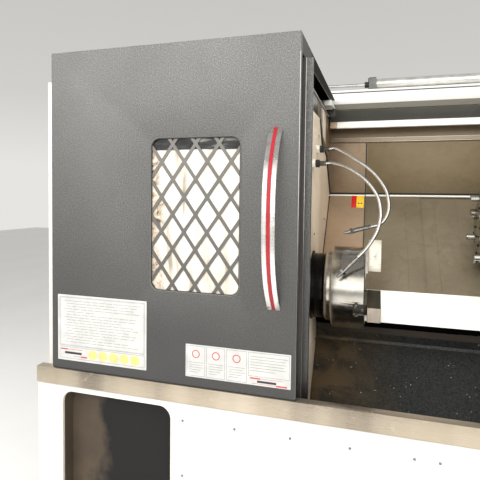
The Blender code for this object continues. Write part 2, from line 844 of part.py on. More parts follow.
def spline(points, spacing):
    """Points about spacing apart along a smooth curve through the given ones."""
    ext = [tuple(2 * a - b for a, b in zip(points[0], points[1]))] + list(points)
    ext.append(tuple(2 * a - b for a, b in zip(points[-1], points[-2])))
    fine = []
    for i in range(1, len(ext) - 2):
        p0, p1, p2, p3 = ext[i - 1 : i + 3]
        for k in range(24):
            t = k / 24
            fine.append(
                tuple(
                    0.5
                    * (
                        2 * b
                        + (c - a) * t
                        + (2 * a - 5 * b + 4 * c - d) * t * t
                        + (3 * b - a - 3 * c + d) * t * t * t
                    )
                    for a, b, c, d in zip(p0, p1, p2, p3)
                )
            )
    fine.append(tuple(points[-1]))
    along = [0.0]
    for a, b in zip(fine, fine[1:]):
        along.append(along[-1] + math.dist(a, b))
    count = max(2, round(along[-1] / spacing))
    out, j = [], 0
    for i in range(count + 1):
        want = along[-1] * i / count
        while j < len(along) - 2 and along[j + 1] < want:
            j += 1
        f = (want - along[j]) / max(1e-9, along[j + 1] - along[j])
        out.append(tuple(a + (b - a) * f for a, b in zip(fine[j], fine[j + 1])))
    return out


def hose(name, route):
    curve = bpy.data.curves.new(name, "CURVE")
    curve.dimensions = "3D"
    curve.bevel_depth = HOSE_D / 2 * MM
    curve.bevel_resolution = 3
    curve.use_fill_caps = True
    pts = spline(route, 25.0)
    sp = curve.splines.new("POLY")
    sp.points.add(len(pts) - 1)
    for q, p in zip(sp.points, pts):
        q.co = (*P(*p), 1.0)
    ob = bpy.data.objects.new(name, curve)
    curve.materials.append(material(name, "braid"))
    bpy.context.scene.collection.objects.link(ob)
    return ob


def along(name, start, direction, profile, kind, seg=20):
    """Turns a profile of (distance, radius) about a line through start."""
    d = Vector(direction).normalized()
    side = d.cross(Vector((0, 0, 1)))
    side.normalize()
    up = side.cross(d)
    bm = bmesh.new()
    rings = []
    for a, r in profile:
        c = Vector(start) + d * a
        if r < 1e-6:
            rings.append([bm.verts.new(P(*c))])
        else:
            ring = []
            for i in range(seg):
                t = 2 * math.pi * i / seg
                ring.append(bm.verts.new(P(*(c + side * r * math.cos(t) + up * r * math.sin(t)))))
            rings.append(ring)
    for k in range(len(rings)):
        a, b = rings[k], rings[(k + 1) % len(rings)]
        if len(a) == 1 and len(b) == 1:
            continue
        for i in range(seg):
            j = (i + 1) % seg
            if len(a) == 1:
                bm.faces.new((a[0], b[i], b[j]))
            elif len(b) == 1:
                bm.faces.new((a[i], b[0], a[j]))
            else:
                bm.faces.new((a[i], b[i], b[j], a[j]))
    return put(name, bm, kind, smooth=True)


FIT_X = WALL_X + 50.0
ROUTES = {
    "upper": [
        (FIT_X, 506, 820), (FIT_X + 27, 506, 820), (109, 493, 797), (152, 482, 768), (190, 474, 742), (223, 465, 710),
        (247, 457, 678), (264, 450, 645), (272, 442, 604), (270, 436, 571), (258, 431, 542), (238, 426, 523.5),
        (208, 419, 514.5),
    ],
    "lower": [
        (FIT_X, 376, 752), (FIT_X + 27, 376, 752), (114, 364, 738), (154, 353, 714), (185, 345, 690), (212, 337, 659),
        (232, 329, 624), (241, 321, 584), (241, 314, 551), (232, 306, 509), (213, 297, 471), (192, 289, 440),
        (167, 281, 413),
    ],
}
for tag, (fy, fz) in (("upper", (506, 820)), ("lower", (376, 752))):
    route = ROUTES[tag]
    hose("coolant_hose_" + tag, route)
    turned(
        "hose_fitting_" + tag,
        [
            (WALL_X, 0), (WALL_X, 17), (WALL_X + 12, 17), (WALL_X + 12, 11), (WALL_X + 17, 11), (WALL_X + 17, 15),
            (WALL_X + 29, 15), (WALL_X + 29, 9.5), (FIT_X - 0.4, 9), (FIT_X - 0.4, 0),
        ],
        (fy, fz),
        "X",
        "dark_steel",
        24,
    )
    end, before = Vector(route[-1]), Vector(spline(route, 25.0)[-2])
    d = (end - before).normalized()
    along(
        "coolant_nozzle_" + tag,
        end + d * 0.4,
        d,
        [(0, 0), (0, 8.5), (3, 9), (70, 9), (70, 13), (78, 13), (78, 8), (102, 4.5), (102, 0)],
        "steel",
    )
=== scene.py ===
"""Looks of the CNC turning lathe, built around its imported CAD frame.

Dimensions are in millimetres from the lower closing corner of the open door's
front skin: X to the tailstock, Y to the back, Z up.  P() carries them to the
row frame in metres.
"""

import math

import bmesh
import bpy
from mathutils import Matrix, Vector


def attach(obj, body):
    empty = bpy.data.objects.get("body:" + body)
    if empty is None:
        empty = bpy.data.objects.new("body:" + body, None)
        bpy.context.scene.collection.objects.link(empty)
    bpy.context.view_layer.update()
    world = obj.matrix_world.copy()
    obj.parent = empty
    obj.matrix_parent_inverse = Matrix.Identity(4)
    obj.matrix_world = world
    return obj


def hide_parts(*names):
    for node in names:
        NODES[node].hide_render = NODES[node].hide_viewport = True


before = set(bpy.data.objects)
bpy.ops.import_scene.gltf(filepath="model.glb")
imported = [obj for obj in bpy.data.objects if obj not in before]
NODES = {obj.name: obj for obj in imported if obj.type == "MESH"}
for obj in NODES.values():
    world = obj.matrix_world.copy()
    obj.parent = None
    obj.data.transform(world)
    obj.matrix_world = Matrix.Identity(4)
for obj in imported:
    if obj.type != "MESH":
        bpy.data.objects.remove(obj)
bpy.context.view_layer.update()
MM = 0.001
CENTRE = (320.0, 652.0, -820.0)
H = math.sqrt(0.5)


def P(x, y, z):
    return Vector(((x - CENTRE[0]) * MM, (y - CENTRE[1]) * MM, (z - CENTRE[2]) * MM))


def S(s, n):
    """A point of the slanted bed as (y, z): s up the slope, n out of it."""
    return (583.0 + (s - n) * H, 141.0 + (s + n) * H)


# ------------------------------------------------------------------ camera
scene = bpy.context.scene
cam_data = bpy.data.cameras.new("camera")
cam = bpy.data.objects.new("camera", cam_data)
scene.collection.objects.link(cam)
cam_data.sensor_width = 36.0
cam_data.lens = 33.75
cam_data.shift_x = 0.0
cam_data.shift_y = -0.0552
cam_data.clip_end = 60.0
RIGHT_AXIS = Vector((0.95828265, 0.28558063, 0.01175016))
DOWN_AXIS = Vector((0.02228494, -0.03366715, -0.99918462))
FORWARD_AXIS = Vector((-0.28495217, 0.95776314, -0.03862679))
turn = Matrix((RIGHT_AXIS, -DOWN_AXIS, -FORWARD_AXIS)).transposed()
cam.matrix_world = Matrix.Translation(P(218.3, -1353.0, 624.5)) @ turn.to_4x4()
scene.camera = cam

# ------------------------------------------------------------------ cord routes
HOSE_D = 12.5
FIT_X = 40.0
ROUTES = {
    "upper": [
        (FIT_X, 506, 820), (FIT_X + 27, 506, 820), (109, 493, 797), (152, 482, 768), (190, 474, 742), (223, 465, 710),
        (247, 457, 678), (264, 450, 645), (272, 442, 604), (270, 436, 571), (258, 431, 542), (238, 426, 523.5),
        (208, 419, 514.5),
    ],
    "lower": [
        (FIT_X, 376, 752), (FIT_X + 27, 376, 752), (114, 364, 738), (154, 353, 714), (185, 345, 690), (212, 337, 659),
        (232, 329, 624), (241, 321, 584), (241, 314, 551), (232, 306, 509), (213, 297, 471), (192, 289, 440),
        (167, 281, 413),
    ],
}


def spline(points, spacing):
    """Points about spacing apart along a smooth curve through the given ones."""
    ext = [tuple(2 * a - b for a, b in zip(points[0], points[1]))] + list(points)
    ext.append(tuple(2 * a - b for a, b in zip(points[-1], points[-2])))
    fine = []
    for i in range(1, len(ext) - 2):
        p0, p1, p2, p3 = ext[i - 1 : i + 3]
        for k in range(24):
            t = k / 24
            fine.append(
                tuple(
                    0.5
                    * (2 * b + (c - a) * t + (2 * a - 5 * b + 4 * c - d) * t * t + (3 * b - a - 3 * c + d) * t * t * t)
                    for a, b, c, d in zip(p0, p1, p2, p3)
                )
            )
    fine.append(tuple(points[-1]))
    along = [0.0]
    for a, b in zip(fine, fine[1:]):
        along.append(along[-1] + math.dist(a, b))
    count = max(2, round(along[-1] / spacing))
    out, j = [], 0
    for i in range(count + 1):
        want = along[-1] * i / count
        while j < len(along) - 2 and along[j + 1] < want:
            j += 1
        f = (want - along[j]) / max(1e-9, along[j + 1] - along[j])
        out.append(tuple(a + (b - a) * f for a, b in zip(fine[j], fine[j + 1])))
    return out


# ------------------------------------------------------------------ materials
class Shade:
    """A Principled material with helpers for procedural patterns in object space."""

    def __init__(self, name, colour, rough, metal=0.0, **sockets):
        self.m = bpy.data.materials.new(name)
        self.m.use_nodes = True
        self.t = self.m.node_tree
        self.b = self.t.nodes["Principled BSDF"]
        self.set("Base Color", (*colour, 1.0))
        self.set("Roughness", rough)
        self.set("Metallic", metal)
        for k, v in sockets.items():
            self.set(k.replace("_", " "), v)
        self.colour = (*colour, 1.0)
        self.rough = rough
        self.coords = None
        self.last_bump = None

    def set(self, socket, value):
        self.b.inputs[socket].default_value = value

    def add(self, kind, **inputs):
        n = self.t.nodes.new("ShaderNode" + kind)
        for k, v in inputs.items():
            n.inputs[k.replace("_", " ")].default_value = v
        return n

    def link(self, a, b):
        self.t.links.new(a, b)

    def where(self, scale=(1, 1, 1), turn_to=(0, 0, 0), kind="Object"):
        if self.coords is None:
            self.coords = self.add("TexCoord")
        mp = self.add("Mapping")
        mp.inputs["Scale"].default_value = scale
        mp.inputs["Rotation"].default_value = turn_to
        self.link(self.coords.outputs[kind], mp.inputs["Vector"])
        return mp.outputs["Vector"]

    def noise(self, scale, detail=3.0, rough=0.55, stretch=(1, 1, 1), turn_to=(0, 0, 0), distortion=0.0):
        n = self.add("TexNoise", Scale=scale, Detail=detail, Roughness=rough, Distortion=distortion)
        self.link(self.where(stretch, turn_to), n.inputs["Vector"])
        return n.outputs["Fac"]

    def ramp(self, value, stops, interpolation="LINEAR"):
        r = self.add("ValToRGB")
        r.color_ramp.interpolation = interpolation
        els = r.color_ramp.elements
        while len(els) < len(stops):
            els.new(0.5)
        for e, (pos, col) in zip(els, stops):
            e.position = pos
            e.color = col if len(col) == 4 else (*col, 1.0)
        self.link(value, r.inputs["Fac"])
        return r.outputs["Color"]

    def mix(self, a, b, fac, kind="MIX"):
        """Mixes two colours; each of a, b and fac is a socket or a value."""
        n = self.add("Mix")
        n.data_type = "RGBA"
        n.blend_type = kind
        for v, s in ((fac, n.inputs[0]), (a, n.inputs[6]), (b, n.inputs[7])):
            if isinstance(v, bpy.types.NodeSocket):
                self.link(v, s)
            else:
                s.default_value = v if not isinstance(v, tuple) or len(v) == 4 else (*v, 1.0)
        return n.outputs[2]

    def range(self, value, a0, a1, b0, b1):
        n = self.add("MapRange", From_Min=a0, From_Max=a1, To_Min=b0, To_Max=b1)
        self.link(value, n.inputs["Value"])
        return n.outputs["Result"]

    def math(self, op, a, b=0.0):
        n = self.add("Math")
        n.operation = op
        for v, s in ((a, n.inputs[0]), (b, n.inputs[1])):
            if isinstance(v, bpy.types.NodeSocket):
                self.link(v, s)
            else:
                s.default_value = v
        return n.outputs[0]

    def axis(self, which, kind="Object"):
        if self.coords is None:
            self.coords = self.add("TexCoord")
        n = self.add("SeparateXYZ")
        self.link(self.coords.outputs[kind], n.inputs[0])
        return n.outputs["XYZ".index(which)]

    def base(self, socket):
        self.link(socket, self.b.inputs["Base Color"])
        return self

    def roughness(self, socket):
        self.link(socket, self.b.inputs["Roughness"])
        return self

    def bump(self, height, strength, distance):
        n = self.add("Bump", Strength=strength, Distance=distance)
        self.link(height, n.inputs["Height"])
        if self.last_bump is not None:
            self.link(self.last_bump, n.inputs["Normal"])
        self.last_bump = n.outputs["Normal"]
        self.link(self.last_bump, self.b.inputs["Normal"])
        return self


def scaled(c, k):
    return (*(min(1.0, v * k) for v in c[:3]), 1.0)


def powder_coat(name, colour, rough=0.42, grain=170.0, depth=0.0011, speckle=0.35, spec=0.5, height_light=None):
    """Orange peel paint: rounded grains a few millimetres across, with a fine second grain."""
    s = Shade(name, colour, rough, 0.0, Specular_IOR_Level=spec)
    big = s.noise(grain, 2.0, 0.6)
    fine = s.noise(grain * 3.4, 2.0, 0.5)
    cloud = s.noise(3.0, 3.0, 0.6)
    both = s.mix(big, fine, 0.3)
    col = s.ramp(both, [(0.36, scaled(colour, 1 - speckle)), (0.52, scaled(colour, 1.0)), (0.66, scaled(colour, 1 + 1.6 * speckle))])
    tone = s.ramp(cloud, [(0.3, (0.86, 0.86, 0.86)), (0.7, (1.08, 1.08, 1.06))])
    col = s.mix(col, tone, 1.0, "MULTIPLY")
    if height_light:
        # Painted light: the paint is darkened towards the sill and brightened towards the top, standing in for shade
        # low down and sheen high up.
        height = s.range(s.axis("Z"), 0.82, 1.94, 0.0, 1.0)
        col = s.mix(col, s.ramp(height, [(0.0, (height_light[0],) * 3), (1.0, (height_light[1],) * 3)]), 1.0, "MULTIPLY")
    s.base(col)
    s.roughness(s.range(both, 0.3, 0.7, rough - 0.08, rough + 0.14))
    s.bump(both, 0.7, depth)
    return s.m


def enamel(name, colour, rough=0.32, dirt=(0.55, 0.5, 0.42), amount=0.22):
    """Semi-gloss machine enamel: a faint orange peel, uneven gloss and a little grime."""
    s = Shade(name, colour, rough, 0.0, Coat_Weight=0.15, Coat_Roughness=0.2)
    peel = s.noise(420.0, 2.0, 0.5)
    cloud = s.noise(2.3, 5.0, 0.65)
    smear = s.noise(9.0, 4.0, 0.7, stretch=(1.0, 1.0, 0.28))
    grime = s.ramp(smear, [(0.58, (0, 0, 0)), (0.82, (1, 1, 1))])
    col = s.ramp(cloud, [(0.32, scaled(colour, 0.93)), (0.62, scaled(colour, 1.02))])
    s.base(s.mix(col, (*dirt, 1.0), s.math("MULTIPLY", grime, amount)))
    s.roughness(s.range(cloud, 0.3, 0.7, rough - 0.06, rough + 0.14))
    s.bump(peel, 0.25, 0.0004)
    return s.m


def sheet_metal(name, colour, rough=0.3, along="X", mottle=0.25, stain=None, stain_amount=0.0, streak=0.09, scale=1.0, metal=0.5):
    """Brushed sheet: long fine scratches along one axis, clouded by handling and coolant."""
    s = Shade(name, colour, rough, metal)
    squeeze = {"X": (0.03, 1, 1), "Y": (1, 0.03, 1), "Z": (1, 1, 0.03)}[along]
    lines = s.noise(900.0 * scale, 2.0, 0.5, stretch=squeeze)
    cloud = s.noise(4.2, 5.0, 0.62)
    patch = s.noise(17.0, 4.0, 0.6, distortion=0.6)
    a = s.ramp(lines, [(0.34, scaled(colour, 1 - streak)), (0.66, scaled(colour, 1 + streak * 0.6))])
    b = s.ramp(cloud, [(0.3, (1 - mottle,) * 3), (0.7, (1 + mottle * 0.4,) * 3)])
    c = s.mix(a, b, 1.0, "MULTIPLY")
    if stain:
        spots = s.ramp(patch, [(0.5, (0, 0, 0)), (0.7, (1, 1, 1))])
        c = s.mix(c, (*stain, 1.0), s.math("MULTIPLY", spots, stain_amount))
    s.base(c)
    s.roughness(s.math("ADD", s.range(cloud, 0.3, 0.7, rough - 0.05, rough + 0.1), s.range(lines, 0.3, 0.7, -0.04, 0.06)))
    s.bump(lines, 0.14, 0.00018)
    s.bump(cloud, 0.25, 0.004)
    return s.m


def turned_steel(name, colour, rough=0.2, along="X", lines=900.0, metal=1.0, tone=0.16):
    """Turned or ground metal: fine lines across the given axis, so round it on a shaft."""
    s = Shade(name, colour, rough, metal)
    squeeze = {"X": (1, 0.015, 0.015), "Y": (0.015, 1, 0.015), "Z": (0.015, 0.015, 1)}[along]
    fine = s.noise(lines, 2.0, 0.6, stretch=squeeze)
    wide = s.noise(70.0, 3.0, 0.5, stretch=squeeze)
    film = s.noise(24.0, 4.0, 0.6)
    a = s.ramp(fine, [(0.3, scaled(colour, 1 - tone)), (0.7, scaled(colour, 1 + tone * 0.5))])
    b = s.ramp(film, [(0.35, (0.84, 0.83, 0.8)), (0.65, (1.03, 1.03, 1.03))])
    s.base(s.mix(a, b, 1.0, "MULTIPLY"))
    s.roughness(s.math("ADD", s.range(wide, 0.3, 0.7, rough - 0.04, rough + 0.06), s.range(film, 0.3, 0.7, 0.0, 0.08)))
    s.bump(fine, 0.3, 0.00012)
    s.bump(wide, 0.12, 0.0002)
    return s.m


def casting(name, colour, rough=0.5):
    """Painted iron: the paint follows a sandy skin underneath."""
    s = Shade(name, colour, rough, 0.0)
    skin = s.noise(95.0, 4.0, 0.65)
    cloud = s.noise(6.0, 3.0, 0.6)
    s.base(s.ramp(cloud, [(0.3, scaled(colour, 0.82)), (0.7, scaled(colour, 1.08))]))
    s.roughness(s.range(skin, 0.3, 0.7, rough - 0.1, rough + 0.12))
    s.bump(skin, 0.4, 0.0012)
    return s.m


def plastic(name, colour, rough=0.38, grain=600.0):
    s = Shade(name, colour, rough, 0.0)
    pit = s.noise(grain, 2.0, 0.5)
    cloud = s.noise(20.0, 3.0, 0.6)
    s.base(s.ramp(cloud, [(0.3, scaled(colour, 0.88)), (0.7, scaled(colour, 1.1))]))
    s.roughness(s.range(pit, 0.3, 0.7, rough - 0.06, rough + 0.1))
    s.bump(pit, 0.3, 0.0003)
    return s.m


M = {}
# The door coat carries painted light: shade towards the bottom, sheen towards the top.
M["charcoal"] = powder_coat("charcoal_coat", (0.060, 0.060, 0.0585), 0.36, 250.0, 0.0013, 0.50, 0.8, (0.30, 1.95))
M["charcoal_fine"] = powder_coat("charcoal_coat_fine", (0.10, 0.10, 0.096), 0.42, 480.0, 0.0005, 0.26)
# The window guard's coat carries the same painted light by height.
M["guard"] = powder_coat("guard_coat", (0.095, 0.090, 0.083), 0.33, 500.0, 0.0004, 0.08, 0.5, (0.35, 1.9))
# Light grey for a painted highlight along edges.
M["edge_wear"] = powder_coat("edge_coat", (0.50, 0.50, 0.48), 0.35, 500.0, 0.0003, 0.08)
M["white"] = enamel("white_enamel", (0.63, 0.605, 0.56), 0.34, amount=0.12)
M["beam"] = enamel("beam_enamel", (0.55, 0.545, 0.525), 0.3, amount=0.08)
M["header"] = enamel("header_enamel", (0.74, 0.73, 0.69), 0.35, amount=0.1)
# Near-black for faces under the beam and behind the header: painted shade.
M["soffit"] = enamel("soffit_enamel", (0.045, 0.044, 0.039), 0.5, amount=0.05)
M["fold"] = enamel("fold_enamel", (0.80, 0.79, 0.72), 0.35, amount=0.06)
# Tan for the painted shadow of the header block on the pale fold.
M["fold_tan"] = enamel("fold_tan_enamel", (0.42, 0.31, 0.22), 0.4, amount=0.1)
M["black"] = turned_steel("blackened_steel", (0.012, 0.0115, 0.011), 0.24, "X", 900.0, 0.9, 0.1)
# Near-black coat for faces deep in shade: painted shade.
M["hood"] = powder_coat("hood_shade_coat", (0.003, 0.003, 0.003), 0.8, 400.0, 0.0005, 0.14, 0.02)
M["jamb_brown"] = enamel("jamb_brown_enamel", (0.036, 0.030, 0.026), 0.6, amount=0.05)
# Grey for the painted shadow on the header's front.
M["header_dark"] = enamel("header_shadow_enamel", (0.20, 0.195, 0.18), 0.4, amount=0.1)
M["beam_lip"] = enamel("beam_lip_enamel", (0.15, 0.14, 0.117), 0.5, amount=0.1)
M["wall"] = sheet_metal("wall_sheet", (0.205, 0.158, 0.090), 0.40, "X", 0.2, (0.13, 0.10, 0.056), 0.4)
M["wall_left"] = sheet_metal("wall_sheet_left", (0.285, 0.21, 0.137), 0.40, "X", 0.16, (0.19, 0.13, 0.075), 0.35)
M["wall_brown"] = sheet_metal("wall_band", (0.25, 0.195, 0.135), 0.45, "X", 0.1)
M["wall_band_light"] = sheet_metal("wall_band_light", (0.36, 0.30, 0.215), 0.45, "X", 0.1)
M["cover_left"] = sheet_metal("cover_sheet_left", (0.46, 0.335, 0.225), 0.42, "X", 0.12, (0.34, 0.23, 0.145), 0.25)
M["cover_right"] = sheet_metal("cover_sheet_right", (0.275, 0.228, 0.155), 0.40, "X", 0.2, (0.18, 0.145, 0.09), 0.5)
M["guard_plate"] = sheet_metal("guard_sheet", (0.95, 0.81, 0.64), 0.45, "Z", 0.12, (0.72, 0.56, 0.41), 0.25, metal=0.15)
M["guard_back"] = sheet_metal("guard_back_sheet", (0.24, 0.185, 0.125), 0.5, "Z", 0.12)
M["way_white"] = enamel("way_cover_enamel", (0.90, 0.89, 0.83), 0.28, amount=0.04)
M["steel"] = turned_steel("ground_steel", (0.60, 0.585, 0.55), 0.20)
M["chuck"] = turned_steel("chuck_steel", (0.60, 0.575, 0.53), 0.15, "X", 1100.0, 1.0, 0.12)
M["ferrule"] = turned_steel("ferrule_steel", (0.16, 0.16, 0.155), 0.16, "X", 700.0, 1.0, 0.1)
M["chuck_face"] = turned_steel("chuck_face_steel", (0.58, 0.56, 0.52), 0.2, "X", 700.0)
M["jaw"] = turned_steel("jaw_steel", (0.84, 0.79, 0.69), 0.3, "Z", 700.0, 0.8)
# A dark copy of the jaw steel: painted shade and dark painted reflection on the jaw turned to the front.
M["jaw_oiled"] = turned_steel("jaw_oiled_steel", (0.060, 0.052, 0.038), 0.42, "X", 700.0, 0.6)
M["jaw_end"] = turned_steel("jaw_end_steel", (0.80, 0.70, 0.60), 0.34, "X", 500.0, 0.55)
M["jaw_base"] = turned_steel("jaw_base_steel", (0.45, 0.43, 0.39), 0.25, "Y", 700.0)
M["dark_steel"] = turned_steel("oiled_steel", (0.09, 0.085, 0.08), 0.34, "X", 500.0, 0.85)
M["screw"] = turned_steel("screw_steel", (0.34, 0.33, 0.31), 0.28, "Z", 900.0)
M["black_screw"] = turned_steel("black_screw_steel", (0.05, 0.05, 0.05), 0.3, "Z", 900.0, 0.7)
M["aluminium"] = turned_steel("satin_aluminium", (0.90, 0.89, 0.88), 0.24, "Z", 420.0, 0.97, 0.06)
M["cyl"] = turned_steel("anodised_tube", (0.90, 0.90, 0.87), 0.30, "Y", 300.0, 0.9, 0.05)
M["cap"] = turned_steel("cylinder_cap", (0.21, 0.215, 0.21), 0.42, "X", 260.0, 0.9, 0.1)
M["chrome"] = turned_steel("chrome_plate", (0.80, 0.80, 0.80), 0.12, "X", 500.0, 1.0, 0.04)
M["nozzle"] = turned_steel("nozzle_steel", (0.34, 0.335, 0.32), 0.14, "X", 500.0, 1.0, 0.06)
M["casting"] = casting("casting_paint", (0.30, 0.33, 0.32))
M["foot"] = casting("foot_iron", (0.07, 0.07, 0.07), 0.55)
M["rubber"] = plastic("rubber_black", (0.018, 0.018, 0.018), 0.62, 300.0)
M["black_plastic"] = plastic("black_plastic", (0.022, 0.022, 0.024), 0.4)
M["grey_plastic"] = plastic("grey_plastic", (0.22, 0.225, 0.22), 0.42)
M["red"] = plastic("red_vinyl", (0.29, 0.012, 0.020), 0.34)
M["red_button"] = plastic("red_button", (0.55, 0.012, 0.012), 0.22)
M["green"] = plastic("green_button", (0.02, 0.30, 0.07), 0.25)
M["yellow"] = plastic("yellow_plastic", (0.80, 0.52, 0.03), 0.35)
M["label"] = plastic("label_white", (0.47, 0.467, 0.452), 0.45)
M["label_line"] = plastic("label_grey", (0.20, 0.20, 0.20), 0.4)
M["label_faint"] = plastic("label_faint", (0.27, 0.268, 0.26), 0.4)
M["label_red"] = plastic("label_red", (0.42, 0.06, 0.06), 0.4)
M["label_yellow"] = plastic("label_yellow", (0.56, 0.48, 0.17), 0.45)


def tray_steel():
    """Oily tray: dark textured skin, brown stains at the chuck end, rings and bright specks."""
    base = (0.030, 0.031, 0.030)
    s = Shade("tray_steel", base, 0.36, 0.55)
    grain = s.noise(130.0, 4.0, 0.7)
    cloud = s.noise(5.5, 5.0, 0.65, distortion=0.8)
    near = s.range(s.axis("X"), -0.25, 0.02, 1.0, 0.0)
    brown = s.ramp(cloud, [(0.36, (0, 0, 0)), (0.56, (1, 1, 1))])
    cold = s.ramp(grain, [(0.35, scaled(base, 0.6)), (0.7, scaled(base, 1.9))])
    warm = s.ramp(cloud, [(0.35, (0.045, 0.038, 0.026)), (0.62, (0.13, 0.095, 0.055))])
    col = s.mix(cold, warm, s.math("MULTIPLY", brown, near))
    ring = s.add("TexVoronoi", Scale=15.0)
    s.link(s.where((1, 1, 1)), ring.inputs["Vector"])
    edge = s.ramp(
        ring.outputs["Distance"],
        [(0.0, (0, 0, 0)), (0.30, (0, 0, 0)), (0.325, (1, 1, 1)), (0.35, (0, 0, 0)), (1.0, (0, 0, 0))],
    )
    col = s.mix(col, (0.20, 0.16, 0.11, 1.0), s.math("MULTIPLY", s.math("MULTIPLY", edge, near), 0.3))
    speck = s.add("TexVoronoi", Scale=60.0)
    s.link(s.where((1, 1, 1)), speck.inputs["Vector"])
    dots = s.ramp(speck.outputs["Distance"], [(0.0, (1, 1, 1)), (0.10, (1, 1, 1)), (0.14, (0, 0, 0)), (1.0, (0, 0, 0))])
    pick = s.ramp(s.noise(11.0, 2.0), [(0.52, (0, 0, 0)), (0.60, (1, 1, 1))])
    col = s.mix(col, (0.62, 0.60, 0.55, 1.0), s.math("MULTIPLY", s.math("MULTIPLY", dots, pick), 0.8))
    s.base(col)
    s.roughness(s.range(cloud, 0.3, 0.7, 0.24, 0.5))
    s.bump(grain, 0.55, 0.0016)
    s.bump(cloud, 0.3, 0.006)
    return s.m


def film():
    """Safety glass with its protective film on: creamy white, diagonal pull marks that also stand in for the guard
    bars' painted shadows, and a dark band at the top that is painted shade with streaked painted reflections.
    """
    s = Shade("window_film", (0.64, 0.62, 0.58), 0.42, 0.0, Coat_Weight=0.2, Coat_Roughness=0.08, Specular_IOR_Level=0.3)
    z = s.axis("Z")
    x = s.axis("X")
    diag = s.noise(26.0, 3.0, 0.55, stretch=(1.0, 1.0, 0.16), turn_to=(0.0, -0.5, 0.0))
    crumple = s.noise(30.0, 5.0, 0.7, distortion=1.4)
    slow = s.noise(5.0, 3.0, 0.5)
    light = s.ramp(diag, [(0.34, (0.26, 0.225, 0.185)), (0.41, (0.48, 0.43, 0.365)), (0.47, (0.55, 0.515, 0.455)), (0.60, (0.66, 0.645, 0.60))])
    light = s.mix(light, (0.66, 0.57, 0.46, 1.0), s.math("MULTIPLY", s.ramp(slow, [(0.48, (0, 0, 0)), (0.62, (1, 1, 1))]), 0.5))
    left = s.range(s.math("ADD", x, s.range(slow, 0.3, 0.7, -0.03, 0.03)), -0.795, -0.765, 1.0, 0.0)
    folds = s.ramp(crumple, [(0.38, (0.07, 0.06, 0.05)), (0.48, (0.36, 0.29, 0.22)), (0.58, (0.54, 0.44, 0.345)), (0.68, (0.67, 0.635, 0.58))])
    col = s.mix(light, folds, left)
    # The dark band at the top: painted shade, its streaks painted reflections.
    bars = s.noise(30.0, 2.0, 0.5, stretch=(0.5, 1.0, 2.2))
    dark = s.ramp(bars, [(0.36, (0.006, 0.006, 0.006)), (0.52, (0.024, 0.024, 0.023)), (0.70, (0.16, 0.16, 0.15))])
    top = s.range(s.math("ADD", z, s.range(slow, 0.3, 0.7, -0.002, 0.002)), 1.5905, 1.5945, 0.0, 1.0)
    s.base(s.mix(col, dark, top))
    s.bump(crumple, 0.25, 0.002)
    s.bump(diag, 0.25, 0.002)
    return s.m


def braid():
    """Woven wire sleeve, drawn from the tube's own map: u along it, v round it, with painted light that brightens the
    sides facing front-left and up and darkens those facing away.
    """
    s = Shade("braided_wire", (0.66, 0.66, 0.65), 0.2, 1.0)
    uv = s.where((1, 1, 1), kind="UV")
    sep = s.add("SeparateXYZ")
    s.link(uv, sep.inputs[0])
    u, v = sep.outputs[0], sep.outputs[1]
    waves = []
    for sign in (1.0, -1.0):
        a = s.math("ADD", s.math("MULTIPLY", u, 1.0), s.math("MULTIPLY", v, sign))
        waves.append(s.math("SINE", s.math("MULTIPLY", a, 2 * math.pi)))
    over = s.math("MAXIMUM", waves[0], waves[1])
    pattern = s.ramp(s.range(over, -1.0, 1.0, 0.0, 1.0), [(0.15, (0.20, 0.20, 0.20)), (0.45, (0.66, 0.66, 0.65)), (0.9, (0.9, 0.9, 0.89))])
    # Painted light: brightness by which way the surface faces.
    facing = s.add("SeparateXYZ")
    s.link(s.coords.outputs["Normal"], facing.inputs[0])
    light_facing = s.math("ADD", s.math("ADD", s.math("MULTIPLY", facing.outputs[0], -0.45), s.math("MULTIPLY", facing.outputs[1], -0.72)), s.math("MULTIPLY", facing.outputs[2], 0.5))
    painted_light_side = s.ramp(s.range(light_facing, -0.2, 0.8, 0.0, 1.0), [(0.0, (0.03, 0.03, 0.03)), (0.42, (0.22, 0.22, 0.215)), (0.66, (1.0, 1.0, 0.99))])
    s.base(s.mix(pattern, painted_light_side, 1.0, "MULTIPLY"))
    s.bump(over, 0.3, 0.00035)
    return s.m


def screen_glass():
    s = Shade("screen_glass", (0.012, 0.014, 0.017), 0.08, 0.0, Coat_Weight=1.0, Coat_Roughness=0.03)
    smear = s.noise(18.0, 4.0, 0.6)
    s.base(s.ramp(smear, [(0.3, (0.010, 0.012, 0.015)), (0.7, (0.028, 0.032, 0.036))]))
    s.roughness(s.range(smear, 0.3, 0.7, 0.05, 0.2))
    return s.m


def sill_steel():
    """Brushed stainless strip: long scratches, slow bends with painted light and dark reflections along them, handling
    spots.
    """
    base = (0.50, 0.435, 0.345)
    s = Shade("sill_steel", base, 0.3, 0.82)
    lines = s.noise(900.0, 2.0, 0.5, stretch=(0.03, 1, 1))
    wave = s.noise(5.2, 2.0, 0.45, stretch=(1.0, 0.05, 0.05))
    patch = s.noise(26.0, 4.0, 0.6, distortion=0.5)
    a = s.ramp(lines, [(0.34, scaled(base, 0.94)), (0.66, scaled(base, 1.05))])
    # Painted reflections: light and dark bands along the strip.
    b = s.ramp(wave, [(0.32, (0.50, 0.49, 0.49)), (0.44, (0.86, 0.85, 0.85)), (0.54, (0.98, 0.97, 0.94)), (0.68, (1.22, 1.22, 1.26))])
    c = s.mix(a, b, 1.0, "MULTIPLY")
    spots = s.ramp(patch, [(0.60, (0, 0, 0)), (0.74, (1, 1, 1))])
    s.base(s.mix(c, (0.66, 0.60, 0.50, 1.0), s.math("MULTIPLY", spots, 0.4)))
    s.roughness(s.math("ADD", s.range(wave, 0.3, 0.7, 0.26, 0.36), s.range(lines, 0.3, 0.7, -0.04, 0.06)))
    s.bump(lines, 0.14, 0.00018)
    s.bump(wave, 0.3, 0.006)
    return s.m


